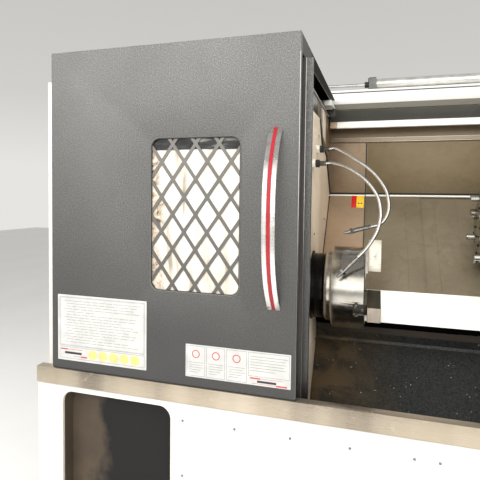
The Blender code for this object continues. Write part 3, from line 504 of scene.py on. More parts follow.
def recess_paint():
    """Inside of the recess: brown at the left, near-black further in as painted shade of the dark space behind."""
    s = Shade("recess_paint", (0.02, 0.017, 0.013), 0.6, 0.0, Specular_IOR_Level=0.3)
    grain = s.noise(240.0, 3.0, 0.6)
    cloud = s.noise(7.0, 3.0, 0.6)
    edge = s.range(s.math("ADD", s.axis("X"), s.range(cloud, 0.3, 0.7, -0.06, 0.06)), -1.07, -1.01, 1.0, 0.0)
    brown = s.ramp(cloud, [(0.3, (0.050, 0.037, 0.026)), (0.7, (0.078, 0.058, 0.040))])
    black = s.ramp(grain, [(0.3, (0.004, 0.004, 0.004)), (0.7, (0.010, 0.010, 0.009))])
    s.base(s.mix(black, brown, edge))
    s.roughness(s.range(grain, 0.3, 0.7, 0.5, 0.75))
    s.bump(grain, 0.4, 0.0006)
    return s.m


def flange_coat():
    """The door's folded end: painted light near the front, painted shade further back under the hood's top."""
    s = Shade("flange_coat", (0.02, 0.019, 0.017), 0.7, 0.0, Specular_IOR_Level=0.05)
    grain = s.noise(400.0, 2.0, 0.6)
    cloud = s.noise(9.0, 3.0, 0.6)
    front = s.range(s.math("ADD", s.axis("Y"), s.range(cloud, 0.3, 0.7, -0.02, 0.02)), -0.47, -0.39, 1.0, 0.0)
    dark = s.ramp(grain, [(0.36, (0.017, 0.016, 0.014)), (0.66, (0.024, 0.023, 0.020))])
    light = s.ramp(grain, [(0.36, (0.100, 0.098, 0.093)), (0.66, (0.145, 0.142, 0.135))])
    s.base(s.mix(dark, light, front))
    s.roughness(s.range(grain, 0.3, 0.7, 0.6, 0.8))
    s.bump(grain, 0.5, 0.0005)
    return s.m


def edge_coat(name, bright, dim, rough):
    """A folded edge with a painted highlight: bright in its upper part, fading to the coat's colour further down."""
    s = Shade(name, dim, rough, 0.0)
    grain = s.noise(500.0, 2.0, 0.5)
    cloud = s.noise(12.0, 3.0, 0.6)
    up = s.range(s.math("ADD", s.axis("Z"), s.range(cloud, 0.3, 0.7, -0.03, 0.03)), 1.24, 1.46, 0.0, 1.0)
    top = s.ramp(grain, [(0.36, scaled(bright, 0.9)), (0.66, scaled(bright, 1.08))])
    low = s.ramp(grain, [(0.36, scaled(dim, 0.85)), (0.66, scaled(dim, 1.15))])
    s.base(s.mix(low, top, up))
    s.roughness(s.range(grain, 0.3, 0.7, rough, rough + 0.12))
    s.bump(grain, 0.3, 0.0003)
    return s.m


M["flange"] = flange_coat()
M["door_bead"] = edge_coat("door_bead_highlight_coat", (0.50, 0.50, 0.48), (0.105, 0.104, 0.10), 0.4)
M["jamb_trim"] = edge_coat("jamb_trim_highlight_coat", (0.52, 0.51, 0.48), (0.135, 0.13, 0.12), 0.4)
M["apron"] = enamel("apron_enamel", (0.030, 0.024, 0.018), 0.6, (0.09, 0.07, 0.05), 0.4)
M["sill"] = sill_steel()
M["recess"] = recess_paint()
M["tray"] = tray_steel()
M["film"] = film()
M["braid"] = braid()
M["screen"] = screen_glass()


# ------------------------------------------------------------------ mesh tools
class Build:
    """Collects closed shapes in one mesh, then bevels and finishes it."""

    def __init__(self, name):
        self.name = name
        self.bm = bmesh.new()

    def prism(self, pts, axis, a0, a1, where=None):
        place = where or (
            {"X": lambda p, a: P(a, p[0], p[1]), "Y": lambda p, a: P(p[0], a, p[1]), "Z": lambda p, a: P(p[0], p[1], a)}[axis]
        )
        lo = [self.bm.verts.new(place(p, a0)) for p in pts]
        hi = [self.bm.verts.new(place(p, a1)) for p in pts]
        self.bm.faces.new(lo)
        self.bm.faces.new(list(reversed(hi)))
        n = len(pts)
        for i in range(n):
            j = (i + 1) % n
            self.bm.faces.new((lo[j], lo[i], hi[i], hi[j]))
        return self

    def box(self, lo, hi):
        return self.prism([(lo[0], lo[1]), (hi[0], lo[1]), (hi[0], hi[1]), (lo[0], hi[1])], "Z", lo[2], hi[2])

    def sbox(self, x, s, n):
        return self.prism([S(s[0], n[0]), S(s[1], n[0]), S(s[1], n[1]), S(s[0], n[1])], "X", x[0], x[1])

    def spin(self, start, direction, rings, seg=24, closed=True):
        """Rings of (along, radius[, 'hex']) about a line through start, in millimetres."""
        d = Vector(direction).normalized()
        ref = Vector((0, 0, 1)) if abs(d.z) < 0.9 else Vector((1, 0, 0))
        side = d.cross(ref).normalized()
        up = side.cross(d)
        made = []
        for ring in rings:
            a, r = ring[0], ring[1]
            shape = ring[2] if len(ring) > 2 else "round"
            c = Vector(start) + d * a
            if r < 1e-6:
                made.append([self.bm.verts.new(P(*c))])
                continue
            row = []
            for i in range(seg):
                t = 2 * math.pi * i / seg
                k = r
                if shape == "hex":
                    k = r / math.cos((t % (math.pi / 3)) - math.pi / 6)
                row.append(self.bm.verts.new(P(*(c + side * k * math.cos(t) + up * k * math.sin(t)))))
            made.append(row)
        pairs = list(zip(made, made[1:]))
        if closed:
            pairs.append((made[-1], made[0]))
        for a, b in pairs:
            if len(a) == 1 and len(b) == 1:
                continue
            for i in range(seg):
                j = (i + 1) % seg
                if len(a) == 1:
                    self.bm.faces.new((a[0], b[i], b[j]))
                elif len(b) == 1:
                    self.bm.faces.new((a[i], b[0], a[j]))
                else:
                    self.bm.faces.new((a[i], b[i], b[j], a[j]))
        return self

    def lathe(self, profile, centre, seg=96, round_by=0.8):
        """Turns (x, radius) about a line along X through centre (y, z)."""
        return self.spin((0, centre[0], centre[1]), (1, 0, 0), soften(profile, round_by), seg)

    def cap_screw(self, at, direction, r, h):
        """A socket head standing h out of its seat; its foot goes a little under."""
        return self.spin(
            at,
            direction,
            [
                (-0.6, 0), (-0.6, r * 0.98), (h - r * 0.18, r), (h, r * 0.84), (h, r * 0.5, "hex"),
                (h - min(h * 0.6, r * 0.8), r * 0.5, "hex"), (h - min(h * 0.6, r * 0.8), 0),
            ],
            24,
        )

    def dome_screw(self, at, direction, r):
        return self.spin(
            at,
            direction,
            [
                (-0.4, 0), (-0.4, r), (0.25, r), (r * 0.28, r * 0.86), (r * 0.42, r * 0.55), (r * 0.46, r * 0.36, "hex"),
                (r * 0.12, r * 0.34, "hex"), (r * 0.12, 0),
            ],
            24,
        )

    def hex_nut(self, at, direction, r, h):
        return self.spin(
            at, direction, [(-0.5, 0), (-0.5, r, "hex"), (h - 0.8, r, "hex"), (h, r * 0.96), (h, 0)], 24
        )

    def done(self, mat, body, bevel=0.0, segments=2, angle=34, replaces=(), slot=None):
        bm = self.bm
        bmesh.ops.recalc_face_normals(bm, faces=bm.faces)
        if bevel:
            bm.edges.ensure_lookup_table()
            sharp = [e for e in bm.edges if e.is_manifold and e.calc_face_angle(0.0) > math.radians(38)]
            bmesh.ops.bevel(
                bm, geom=sharp, offset=bevel * MM, segments=segments, profile=0.5, affect="EDGES", clamp_overlap=True
            )
        me = bpy.data.meshes.new(self.name)
        bm.to_mesh(me)
        bm.free()
        ob = bpy.data.objects.new(self.name, me)
        scene.collection.objects.link(ob)
        return finish_piece(ob, mat, body, angle, replaces)


def finish_piece(ob, mat, body, angle=34, replaces=()):
    ob.data.materials.clear()
    ob.data.materials.append(mat)
    if ob.type == "MESH":
        ob.data.shade_smooth()
        ob.data.set_sharp_from_angle(angle=math.radians(angle))
    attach(ob, body)
    if replaces:
        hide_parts(*([replaces] if isinstance(replaces, str) else replaces))
    return ob


def soften(profile, r):
    """Rounds the corners of a closed profile by up to r."""
    if r <= 0:
        return profile
    out = []
    n = len(profile)
    for i in range(n):
        a, b, c = Vector(profile[i - 1][:2]), Vector(profile[i][:2]), Vector(profile[(i + 1) % n][:2])
        u, v = a - b, c - b
        if b.y < 1e-6 or u.length < 1e-6 or v.length < 1e-6 or abs(u.angle(v) - math.pi) < math.radians(14):
            out.append((b.x, b.y))
            continue
        k = min(r, 0.35 * u.length, 0.35 * v.length)
        p, q = b + u.normalized() * k, b + v.normalized() * k
        mid = (p + q) * 0.25 + b * 0.5
        out += [(p.x, p.y), (mid.x, mid.y), (q.x, q.y)]
    return out


def rounded(x0, z0, x1, z1, r, k=6):
    pts = []
    for cx, cz, a in ((x1 - r, z1 - r, 0), (x0 + r, z1 - r, 90), (x0 + r, z0 + r, 180), (x1 - r, z0 + r, 270)):
        for i in range(k + 1):
            t = math.radians(a + 90 * i / k)
            pts.append((cx + r * math.cos(t), cz + r * math.sin(t)))
    return pts


def refine(node, mat, body, bevel=1.0, name=None, segments=2, angle=34):
    """A CAD node's own shape with rounded edges, shown in its place."""
    src = NODES[node]
    bm = bmesh.new()
    bm.from_mesh(src.data)
    bm.transform(src.matrix_world)
    bmesh.ops.remove_doubles(bm, verts=bm.verts, dist=2e-6)
    bmesh.ops.dissolve_limit(bm, angle_limit=math.radians(0.6), verts=bm.verts, edges=bm.edges)
    bm.edges.ensure_lookup_table()
    sharp = [e for e in bm.edges if e.is_manifold and e.calc_face_angle(0.0) > math.radians(30)]
    bmesh.ops.bevel(
        bm, geom=sharp, offset=bevel * MM, segments=segments, profile=0.5, affect="EDGES", clamp_overlap=True
    )
    me = bpy.data.meshes.new(name or node + "_skin")
    bm.to_mesh(me)
    bm.free()
    ob = bpy.data.objects.new(name or node + "_skin", me)
    scene.collection.objects.link(ob)
    return finish_piece(ob, mat, body, angle, (node,))


def paint(node, mat):
    ob = NODES[node]
    for slot in ob.material_slots:
        slot.material = mat


def carve(ob, cutters):
    """Cuts each Build out of ob with an exact boolean."""
    for b in cutters:
        bmesh.ops.recalc_face_normals(b.bm, faces=b.bm.faces)
        me = bpy.data.meshes.new("cutter")
        b.bm.to_mesh(me)
        b.bm.free()
        other = bpy.data.objects.new("cutter", me)
        scene.collection.objects.link(other)
        mod = ob.modifiers.new("cut", "BOOLEAN")
        mod.operation = "DIFFERENCE"
        mod.solver = "EXACT"
        mod.object = other
        deps = bpy.context.evaluated_depsgraph_get()
        mesh = bpy.data.meshes.new_from_object(ob.evaluated_get(deps))
        ob.modifiers.clear()
        old = ob.data
        ob.data = mesh
        bpy.data.meshes.remove(old)
        bpy.data.objects.remove(other, do_unlink=True)
        bpy.data.meshes.remove(me)
    return ob


def raw(build):
    bmesh.ops.recalc_face_normals(build.bm, faces=build.bm.faces)
    me = bpy.data.meshes.new(build.name)
    build.bm.to_mesh(me)
    build.bm.free()
    ob = bpy.data.objects.new(build.name, me)
    scene.collection.objects.link(ob)
    return ob


def soften_mesh(ob, width, segments=2, limit=30):
    """Merges, then bevels the sharp edges of an object's mesh."""
    bm = bmesh.new()
    bm.from_mesh(ob.data)
    bmesh.ops.remove_doubles(bm, verts=bm.verts, dist=2e-6)
    bmesh.ops.dissolve_limit(bm, angle_limit=math.radians(0.6), verts=bm.verts, edges=bm.edges)
    sharp = [e for e in bm.edges if e.is_manifold and e.calc_face_angle(0.0) > math.radians(limit)]
    bmesh.ops.bevel(bm, geom=sharp, offset=width * MM, segments=segments, profile=0.5, affect="EDGES", clamp_overlap=True)
    bm.to_mesh(ob.data)
    bm.free()
    return ob


# ------------------------------------------------------------------ sliding door
DOOR_W, DOOR_H, DOOR_T, DOOR_DEPTH, TAPER = 887.0, 1120.0, 28.0, 985.0, 15.0
WX0, WX1, WZ0, WZ1, WR = -494.0, -185.0, 308.0, 812.0, 30.0

refine("door_shell", M["charcoal"], "door", 1.3, "door_shell_skin", 2)
paint("window_guard", M["guard"])
paint("window_glass", M["film"])


def flange_x(y, off):
    return TAPER * y / DOOR_DEPTH + off


# The door's folded end over the hood: its coat is painted light and shade, and the near-black sheets inside the fold
# and under the hood's top are painted shade.
cheek = [(29, 1063.4), (780, 1080.4), (984, 1111), (984, 1118.6), (29, 1118.6)]
Build("door_flange_skin").prism(cheek, "X", -0.2, 0.35, where=lambda p, a: P(flange_x(p[0], a), p[0], p[1])).done(
    M["flange"], "door", 0, slot="charcoal_paint"
)
cheek = [(4, 1063.4), (780, 1080.4), (981, 1110.4), (981, 1116), (4, 1116)]
Build("door_flange_shade_sheet").prism(cheek, "X", -3.5, -2.8, where=lambda p, a: P(flange_x(p[0], a), p[0], p[1])).done(
    M["hood"], "door", 0, slot="charcoal_paint"
)
Build("door_hood_shade_sheet").prism([(-883.4, 3.4), (-3.8, 3.4), (10.8, 981.4), (-883.4, 981.4)], "Z", 1116.2, 1117.3).done(
    M["hood"], "door", 0, slot="charcoal_paint"
)
# A thin bead down the door's right edge, coloured as a painted highlight that fades downwards.
Build("door_edge_bead").prism([(-1.7, 0.4), (-1.5, -0.35), (-0.5, -0.45), (0.05, 0.1), (0.1, 1.2), (-0.6, 1.2)], "Z", 4, 1060).done(
    M["door_bead"], "door", 0, slot="charcoal_paint"
)
# A black strip under the door's bottom edge: painted shade for the shadow gap above the sill.
Build("door_foot_shadow_strip").prism([(0.7, -0.1), (0.9, -4.0), (1.5, -4.3), (2.4, -4.3), (3.0, -4.0), (3.2, -0.1)], "X", -884, -4).done(M["rubber"], "door", 0, slot="rubber")
paint("cylinder_rod", M["chrome"])
for n in ("door_roller_left", "door_roller_right"):
    paint(n, M["steel"])

# Folded lip round the window: a thin bead standing on the skin.
lip = Build("window_lip")
outer, inner = rounded(WX0 - 3.2, WZ0 - 3.2, WX1 + 3.2, WZ1 + 3.2, WR + 3.2, 10), rounded(WX0 + 0.4, WZ0 + 0.4, WX1 - 0.4, WZ1 - 0.4, WR - 0.4, 10)
prof = [(0.0, 0.6), (0.0, -0.7), (0.35, -1.35), (0.75, -0.9), (1.0, -0.2), (1.0, 0.6)]
rings = []
for f, y in prof:
    rings.append([lip.bm.verts.new(P(a[0] + (b[0] - a[0]) * f, y, a[1] + (b[1] - a[1]) * f)) for a, b in zip(outer, inner)])
for k in range(len(rings)):
    a, b = rings[k], rings[(k + 1) % len(rings)]
    for i in range(len(a)):
        j = (i + 1) % len(a)
        lip.bm.faces.new((a[i], b[i], b[j], a[j]))
lip.done(M["charcoal_fine"], "door", slot="charcoal_paint")
# A black ring inside the window's cutout: painted shade on the cutout's inner wall.
shade_ring = Build("window_cutout_shade_ring")
outer, inner = rounded(WX0 + 0.2, WZ0 + 0.2, WX1 - 0.2, WZ1 - 0.2, WR - 0.2, 10), rounded(WX0 + 2.4, WZ0 + 2.4, WX1 - 2.4, WZ1 - 2.4, WR - 2.4, 10)
rings = []
for f, y in ((0.0, 0.4), (0.6, 0.25), (1.0, 0.7), (1.0, 2.4), (0.0, 2.4)):
    rings.append([shade_ring.bm.verts.new(P(a[0] + (b[0] - a[0]) * f, y, a[1] + (b[1] - a[1]) * f)) for a, b in zip(outer, inner)])
for k in range(len(rings)):
    a, b = rings[k], rings[(k + 1) % len(rings)]
    for i in range(len(a)):
        j = (i + 1) % len(a)
        shade_ring.bm.faces.new((a[i], b[i], b[j], a[j]))
shade_ring.done(M["rubber"], "door", slot="rubber")

# Handle: an aluminium section with raised rims and a red strip let into its middle.
HZ0, HZ1, HX, HOUT, HT = 273.6, 836.0, -72.0, 96.0, 6.0


def bow(t, inset):
    mid, half = (HZ0 + HZ1) / 2, (HZ1 - HZ0) / 2
    reach = (HOUT - inset) * (1 - abs(t) ** 2.7)
    return (-0.3 - reach, mid + t * (half - inset * 1.0 * (abs(t) > 0.999) - inset * 0.9 * abs(t) ** 6))


def sweep(name, section, mat, count=64, slot=None, t_end=1.0, replaces=()):
    """Sweeps a section of (across, depth) along the handle's bow, depth 0 at its outer face."""
    b = Build(name)
    rows = []
    for k in range(count + 1):
        t = (-1 + 2 * k / count) * t_end
        (y0, z0), (y1, z1) = bow(t, 0), bow(t, HT)
        rows.append([b.bm.verts.new(P(HX + w, y0 + (y1 - y0) * d / HT, z0 + (z1 - z0) * d / HT)) for w, d in section])
    for a, c in zip(rows, rows[1:]):
        for i in range(len(section)):
            j = (i + 1) % len(section)
            b.bm.faces.new((a[i], a[j], c[j], c[i]))
    b.bm.faces.new(list(reversed(rows[0])))
    b.bm.faces.new(rows[-1])
    return b.done(mat, "door", 0, replaces=replaces, slot=slot, angle=30)


section = [
    (-20.0, 1.6), (-19.4, 0.5), (-18.2, 0.0), (-16.4, 0.0), (-15.8, 0.7), (-15.0, 0.7), (-14.4, 0.0), (-10.0, 0.0), (-6.4, 0.0), (-5.8, 1.3),
    (5.8, 1.3), (6.4, 0.0), (10.0, 0.0), (14.4, 0.0), (15.0, 0.7), (15.8, 0.7), (16.4, 0.0), (18.2, 0.0), (19.4, 0.5), (20.0, 1.6),
    (20.0, 5.2), (19.2, 5.99), (-19.2, 5.99), (-20.0, 5.2),
]
sweep("handle_section", section, M["aluminium"], replaces="door_handle", slot="aluminium")
sweep("handle_stripe", [(-5.5, 1.25), (-5.5, 0.35), (-4.6, 0.05), (4.6, 0.05), (5.5, 0.35), (5.5, 1.25)], M["red"], slot="red_plastic")

# Plates on the door: blank fields, frames and bars.
def plate(name, x0, z0, x1, z1, r=2.0):
    Build(name).prism(rounded(x0, z0, x1, z1, r, 3), "Y", -0.45, 0.25).done(M["label"], "door", 0, slot="white_paint")


def bars(name, items, mat, slot):
    b = Build(name)
    for x0, z0, x1, z1 in items:
        b.box((x0, -0.62, z0), (x1, -0.40, z1))
    b.done(mat, "door", 0, slot=slot)


def frame_bars(x0, z0, x1, z1, t):
    return [(x0, z0, x1, z0 + t), (x0, z1 - t, x1, z1), (x0, z0 + t, x0 + t, z1 - t), (x1 - t, z0 + t, x1, z1 - t)]


plate("plate_left", -863, 30, -509, 266)
bars(
    "plate_left_frames",
    frame_bars(-856, 83, -516, 259, 1.3) + frame_bars(-853, 86, -519, 256, 0.8) + frame_bars(-856, 37, -516, 79, 1.3),
    M["label_line"],
    "dark_steel",
)
lines = []
ends = (-530, -546, -560, -528, -700, -548, -536, -590, -552, -540, -566, -530, -548, -610, -575, -534)
for k, x1 in enumerate(ends):
    z = 246 - k * 9.8
    x = -826 if k % 3 else -834
    while x < x1 - 14:
        w = 16 + (k * 37 + int(x) * 13) % 27
        lines.append((x, z - 2.1, min(x + w, x1), z))
        x += w + 4
bars("plate_left_rules", lines, M["label_faint"], "dark_steel")
bars("plate_left_red", [(-852, 67.5, -822, 72), (-822, 69.4, -760, 71), (-800, 45.4, -768, 47), (-768, 43.8, -742, 48.5)], M["label_red"], "red_plastic")
bars("plate_left_black", [(-834, 53.5, -764, 61.5)], M["black_plastic"], "black_plastic")
discs = Build("plate_left_discs")
for k in range(5):
    discs.spin((-719 + k * 41.5, -0.40, 58), (0, -1, 0), [(0, 0), (0, 17.5), (0.2, 17.5), (0.26, 17.0), (0.26, 0)], 32)
discs.done(M["label_yellow"], "door", 0, slot="red_plastic")

plate("plate_right", -365, 30, -15, 138)
cells = []
for x0, x1 in ((-361, -297), (-292, -229), (-224, -156)):
    cells += frame_bars(x0, 34, x1, 134, 1.2)
cells += frame_bars(-151, 58, -19, 134, 1.2)
bars("plate_right_frames", cells, M["label_line"], "dark_steel")
lines = []
for x0, x1 in ((-355, -303), (-286, -235), (-218, -162)):
    for k in range(5):
        lines.append((x0 + (3 if k else 0), 78 - k * 8, x1 - (0, 4, 0, 9, 20)[k], 80 - k * 8))
for k in range(6):
    lines.append((-145, 120 - k * 9, -25 - (0, 6, 2, 10, 4, 40)[k], 122 - k * 9))
bars("plate_right_rules", lines, M["label_faint"], "dark_steel")
bars("plate_right_red", [(-145, 49.5, -112, 54), (-112, 51.6, -40, 52.8), (-138, 34.8, -60, 36), (-60, 32.5, -26, 37.5)], M["label_red"], "red_plastic")
bars("plate_right_black", [(-122, 39, -60, 46)], M["black_plastic"], "black_plastic")
marks = Build("plate_right_marks")
for cx in (-329, -260, -190):
    marks.spin((cx, -0.40, 107), (0, -1, 0), [(0, 10.5), (0, 13.5), (0.24, 13.5), (0.24, 10.5)], 32)
marks.done(M["label_red"], "door", 0, slot="red_plastic")

# Inner stiffeners and the top panel's rear bolts, seen from behind and above.
ribs = Build("door_stiffeners")
for z in (200, 900):
    ribs.box((-880, 3.3, z), (-8, 22, z + 26))
for x in (-700, -60):
    ribs.box((x, 3.3, 232), (x + 30, 21, 895))
ribs.done(M["charcoal_fine"], "door", 0.9, slot="charcoal_paint")
bolts = Build("rod_lug_bolts")
for x in (-731, -709):
    for y in (940, 972):
        bolts.cap_screw((x, y, DOOR_H + 42), (0, 0, 1), 5, 5)
bolts.hex_nut((-698.5, 1046, 1197), (1, 0, 0), 12, 5)
bolts.hex_nut((-739.2, 1046, 1197), (-1, 0, 0), 12, 12)
bolts.done(M["screw"], "door", 0, slot="steel")

# ------------------------------------------------------------------ lower body
refine("base_cabinet", M["white"], "machine", 1.6, "base_cabinet_skin", 2)
for k in range(1, 5):
    refine("levelling_foot_%d" % k, M["foot"], "machine", 1.0, "levelling_foot_%d_skin" % k)
refine("sill_strip", M["sill"], "machine", 0.9, "sill_strip_skin", 3)
refine("door_rail", M["steel"], "machine", 0.8, "door_rail_skin")
rim = Build("recess_lip")
outer, inner = rounded(-851, -525, -415, -80, 47, 10), rounded(-846.2, -520.2, -419.8, -84.8, 41.8, 10)
prof = [(0.0, 4.0), (0.0, 2.2), (0.3, 1.1), (0.75, 1.0), (1.0, 2.0), (1.0, 4.0)]
rings = []
for f, y in prof:
    rings.append([rim.bm.verts.new(P(a[0] + (b[0] - a[0]) * f, y, a[1] + (b[1] - a[1]) * f)) for a, b in zip(outer, inner)])
for k in range(len(rings)):
    a, b = rings[k], rings[(k + 1) % len(rings)]
    for i in range(len(a)):
        j = (i + 1) % len(a)
        rim.bm.faces.new((a[i], b[i], b[j], a[j]))
rim.done(M["white"], "machine", slot="white_paint")
# A pan closing the recess, in near-black: painted shade of the dark space behind the opening.
pan = Build("recess_pan")
outer, inner = rounded(-853, -527, -413, -78, 48, 10), rounded(-846.6, -520.6, -419.4, -84.4, 41.6, 10)
rings = []
for f, y in ((0.0, 14.4), (1.0, 14.4), (1.0, 60.0), (0.0, 61.5)):
    rings.append([pan.bm.verts.new(P(a[0] + (b[0] - a[0]) * f, y, a[1] + (b[1] - a[1]) * f)) for a, b in zip(outer, inner)])
for k in range(4):
    a, b = rings[k], rings[(k + 1) % 4]
    for i in range(len(a)):
        j = (i + 1) % len(a)
        pan.bm.faces.new((a[i], b[i], b[j], a[j]))
pan.done(M["recess"], "machine", slot="black_paint")
Build("recess_pan_back").prism(outer, "Y", 60.6, 62.6).done(M["recess"], "machine", 0, slot="black_paint")

# Panels of the lower body: screwed covers on the front, the left end and the back.
def cover(name, lo, hi, normal, mat, r=6.0, screws=(3, 2), body="machine", out=1.6, sr=4.5, slot="white_paint"):
    """A thin screwed cover lying on a wall; lo and hi are its corners, normal is +-X, +-Y or Z."""
    axis = "XYZ"[max(range(3), key=lambda i: abs(normal[i]))]
    i, j = [k for k in range(3) if "XYZ"[k] != axis]
    n = "XYZ".index(axis)
    base = lo[n]
    sign = 1 if normal[n] > 0 else -1
    b = Build(name)
    b.prism(rounded(lo[i], lo[j], hi[i], hi[j], r, 4), axis, base - 0.3 * sign, base + out * sign)
    ob = b.done(mat, body, 0.5, 2, slot=slot)
    s = Build(name + "_screws")
    for a in range(screws[0]):
        for c in range(screws[1]):
            if 0 < a < screws[0] - 1 and 0 < c < screws[1] - 1:
                continue
            p = [0, 0, 0]
            p[i] = lo[i] + 14 + (hi[i] - lo[i] - 28) * (a / max(1, screws[0] - 1))
            p[j] = lo[j] + 14 + (hi[j] - lo[j] - 28) * (c / max(1, screws[1] - 1))
            p[n] = base + out * sign
            s.dome_screw(p, normal, sr)
    s.done(M["screw"], body, 0, slot="steel")
    return ob


cover("front_cover_left", (-390, 4, -700), (360, 4, -110), (0, -1, 0), M["white"], 10, (5, 4))
cover("front_cover_right", (400, 4, -700), (1560, 4, -110), (0, -1, 0), M["white"], 10, (6, 4))
cover("front_cover_low", (-846, 4, -735), (-420, 4, -560), (0, -1, 0), M["white"], 8, (4, 2))
cover("base_rear_cover_1", (-900, 1400, -700), (200, 1400, -120), (0, 1, 0), M["white"], 10, (5, 4))
cover("base_rear_cover_2", (260, 1400, -700), (1540, 1400, -120), (0, 1, 0), M["white"], 10, (6, 4))
cover("base_end_cover_left", (-955, 120, -700), (-955, 1290, -120), (-1, 0, 0), M["white"], 10, (5, 4))

# ------------------------------------------------------------------ enclosure
refine("left_enclosure", M["white"], "machine", 1.2, "left_enclosure_skin")
refine("right_enclosure", M["white"], "machine", 1.2, "right_enclosure_skin")
refine("rear_cabinet", M["white"], "machine", 1.0, "rear_cabinet_skin")
refine("cabinet_door", M["white"], "rear_door", 0.8, "cabinet_door_skin")
refine("jamb_post", M["charcoal"], "machine", 1.2, "jamb_post_skin", 3)
refine("top_beam", M["beam"], "machine", 1.2, "top_beam_skin", 2)
Build("jamb_brown_strip").box((-60, 68.6, -58), (4.3, 69.8, 1061.4)).done(M["jamb_brown"], "machine", 0.3, slot="stainless")
# A thin trim down the jamb's edge, coloured as a painted highlight that fades downwards.
Build("jamb_edge_trim").box((5.2, 68.2, -60), (7.2, 70.4, 1059)).done(M["jamb_trim"], "machine", 0.4, slot="white_paint")
Build("jamb_foot").box((7, 65, -60), (30, 69.6, -20)).done(M["dark_steel"], "machine", 1.2, slot="dark_steel")

# Beam: a loose top strip with a dark joint, and a beige folded lip under its face.
Build("beam_top_strip").box((-920, 1003.2, 1154.6), (1560, 1030, 1166)).done(M["beam"], "machine", 1.2, slot="white_paint")
Build("beam_joint").box((-918, 1003.4, 1150.6), (1558, 1028, 1155)).done(M["rubber"], "machine", 0, slot="rubber")
Build("beam_lip_sheet").prism([(1003.5, 1096.6), (1004.3, 1097.2), (1013.2, 1071.6), (1012.3, 1071.2)], "X", -946, 1586).done(
    M["beam_lip"], "machine", 0, slot="white_paint"
)
# Header block over the guard plate: a grey half that is painted shadow, a white half and a white flank.
Build("header_front_shadowed").prism([(-58, 1052), (-11, 1052), (-20.5, 1075.5), (-58, 1075.5)], "Y", 787.8, 790.4).done(
    M["header_dark"], "machine", 0.5, slot="white_paint"
)
Build("header_front_white").prism([(-10, 1052), (16.8, 1052), (16.8, 1075.5), (-19.5, 1075.5)], "Y", 787.8, 790.4).done(
    M["header"], "machine", 0.5, slot="white_paint"
)
Build("header_front_lip").box((-58, 787.8, 1035.4), (17.6, 790.4, 1051.6)).done(M["beam_lip"], "machine", 0.5, slot="white_paint")
Build("header_flank").prism([(793, 1052.2), (940, 1064.6), (997, 1073.6), (997, 1075.8), (793, 1075.8)], "X", 17.7, 19.2).done(
    M["header"], "machine", 0.4, slot="white_paint"
)
Build("header_flank_lip").prism([(791, 1035.6), (997, 1072.6), (940, 1064.2), (791, 1051.8)], "X", 17.7, 19.3).done(
    M["beam_lip"], "machine", 0.2, slot="white_paint"
)
Build("header_back").box((-60, 1000.2, 1035), (19, 1001.6, 1076.6)).done(M["soffit"], "machine", 0.3, slot="stainless")

# ------------------------------------------------------------------ work area sheets
FRONT_LINE = [(1086, 647), (1086, 911), (1077, 914), (1077, 932), (1083, 941), (1083, 987), (1040, 1014), (1013, 1066)]


def sheet_line(name, pts, t0, t1, x0, x1, mat, slot="stainless", bevel=0.35):
    """A sheet between two offsets in front of a polyline of (y, z)."""
    def offset(t):
        out = []
        n = len(pts)
        for i in range(n):
            ns = []
            for p, q in ((pts[i - 1] if i else None, pts[i]), (pts[i], pts[i + 1] if i < n - 1 else None)):
                if p and q:
                    d = math.hypot(q[0] - p[0], q[1] - p[1])
                    ns.append((-(q[1] - p[1]) / d, (q[0] - p[0]) / d))
            nx, ny = sum(v[0] for v in ns) / len(ns), sum(v[1] for v in ns) / len(ns)
            m = nx * nx + ny * ny
            out.append((pts[i][0] + t * nx / m, pts[i][1] + t * ny / m))
        return out

    return Build(name).prism(offset(t1) + list(reversed(offset(t0))), "X", x0, x1).done(mat, "machine", bevel, slot=slot)


paint("back_wall", M["wall"])
sheet_line("wall_sheet_left", FRONT_LINE[:2], -0.2, 1.3, -9.0, 171.7, M["wall_left"])
sheet_line("wall_sheet_right", [(1086, 649), (1086, 911)], -0.2, 0.9, 179.4, 1498, M["wall"])
Build("wall_seam").box((171.7, 1083.2, 650), (177.6, 1086.4, 910)).done(M["rubber"], "machine", 0.3, slot="rubber")
Build("wall_seam_edge").box((177.6, 1084.2, 650), (179.4, 1086.4, 910)).done(M["wall_band_light"], "machine", 0.2, slot="stainless")
Build("slant_seam").sbox((171.7, 175.4), (124, 706), (-3.8, 0.7)).done(M["rubber"], "machine", 0.3, slot="rubber")
Build("slant_seam_edge").sbox((175.4, 176.8), (124, 694), (-3.8, -1.6)).done(M["wall_band_light"], "machine", 0.2, slot="stainless")
sheet_line("wall_rib_low", FRONT_LINE[1:4], -0.2, 0.9, -9.0, 140, M["wall_brown"])
sheet_line("wall_rib_low_light", FRONT_LINE[1:4], -0.2, 0.9, 140.4, 1498, M["wall_band_light"])
sheet_line("wall_rib_high", FRONT_LINE[3:6], -0.2, 0.9, -9.0, 1498, M["wall_brown"])
Build("wall_fold_bright").prism([(1040.5, 1013.6), (1017, 980), (1023, 976), (1082.6, 986.4)], "X", 27, 1498).done(
    M["fold"], "machine", 0.4, slot="white_paint"
)
# The soffit under the beam, in near-black: painted shade.
sheet_line("wall_soffit", FRONT_LINE[6:8], -0.2, 0.9, -9.0, 1498, M["soffit"], "black_paint")
# The fold's left end, in tan: painted shadow of the header block.
Build("wall_fold_tan").prism([(1040.5, 1013.6), (1017, 980), (1023, 976), (1082.6, 986.4)], "X", -9.0, 26.6).done(
    M["fold_tan"], "machine", 0.4, slot="stainless"
)
Build("wall_corner_fillet").prism([(-16.1, 1062), (-8.9, 1084.8), (-8.9, 1086), (-16.1, 1086)], "Z", 668, 1008).done(
    M["wall_left"], "machine", 0, slot="stainless"
)
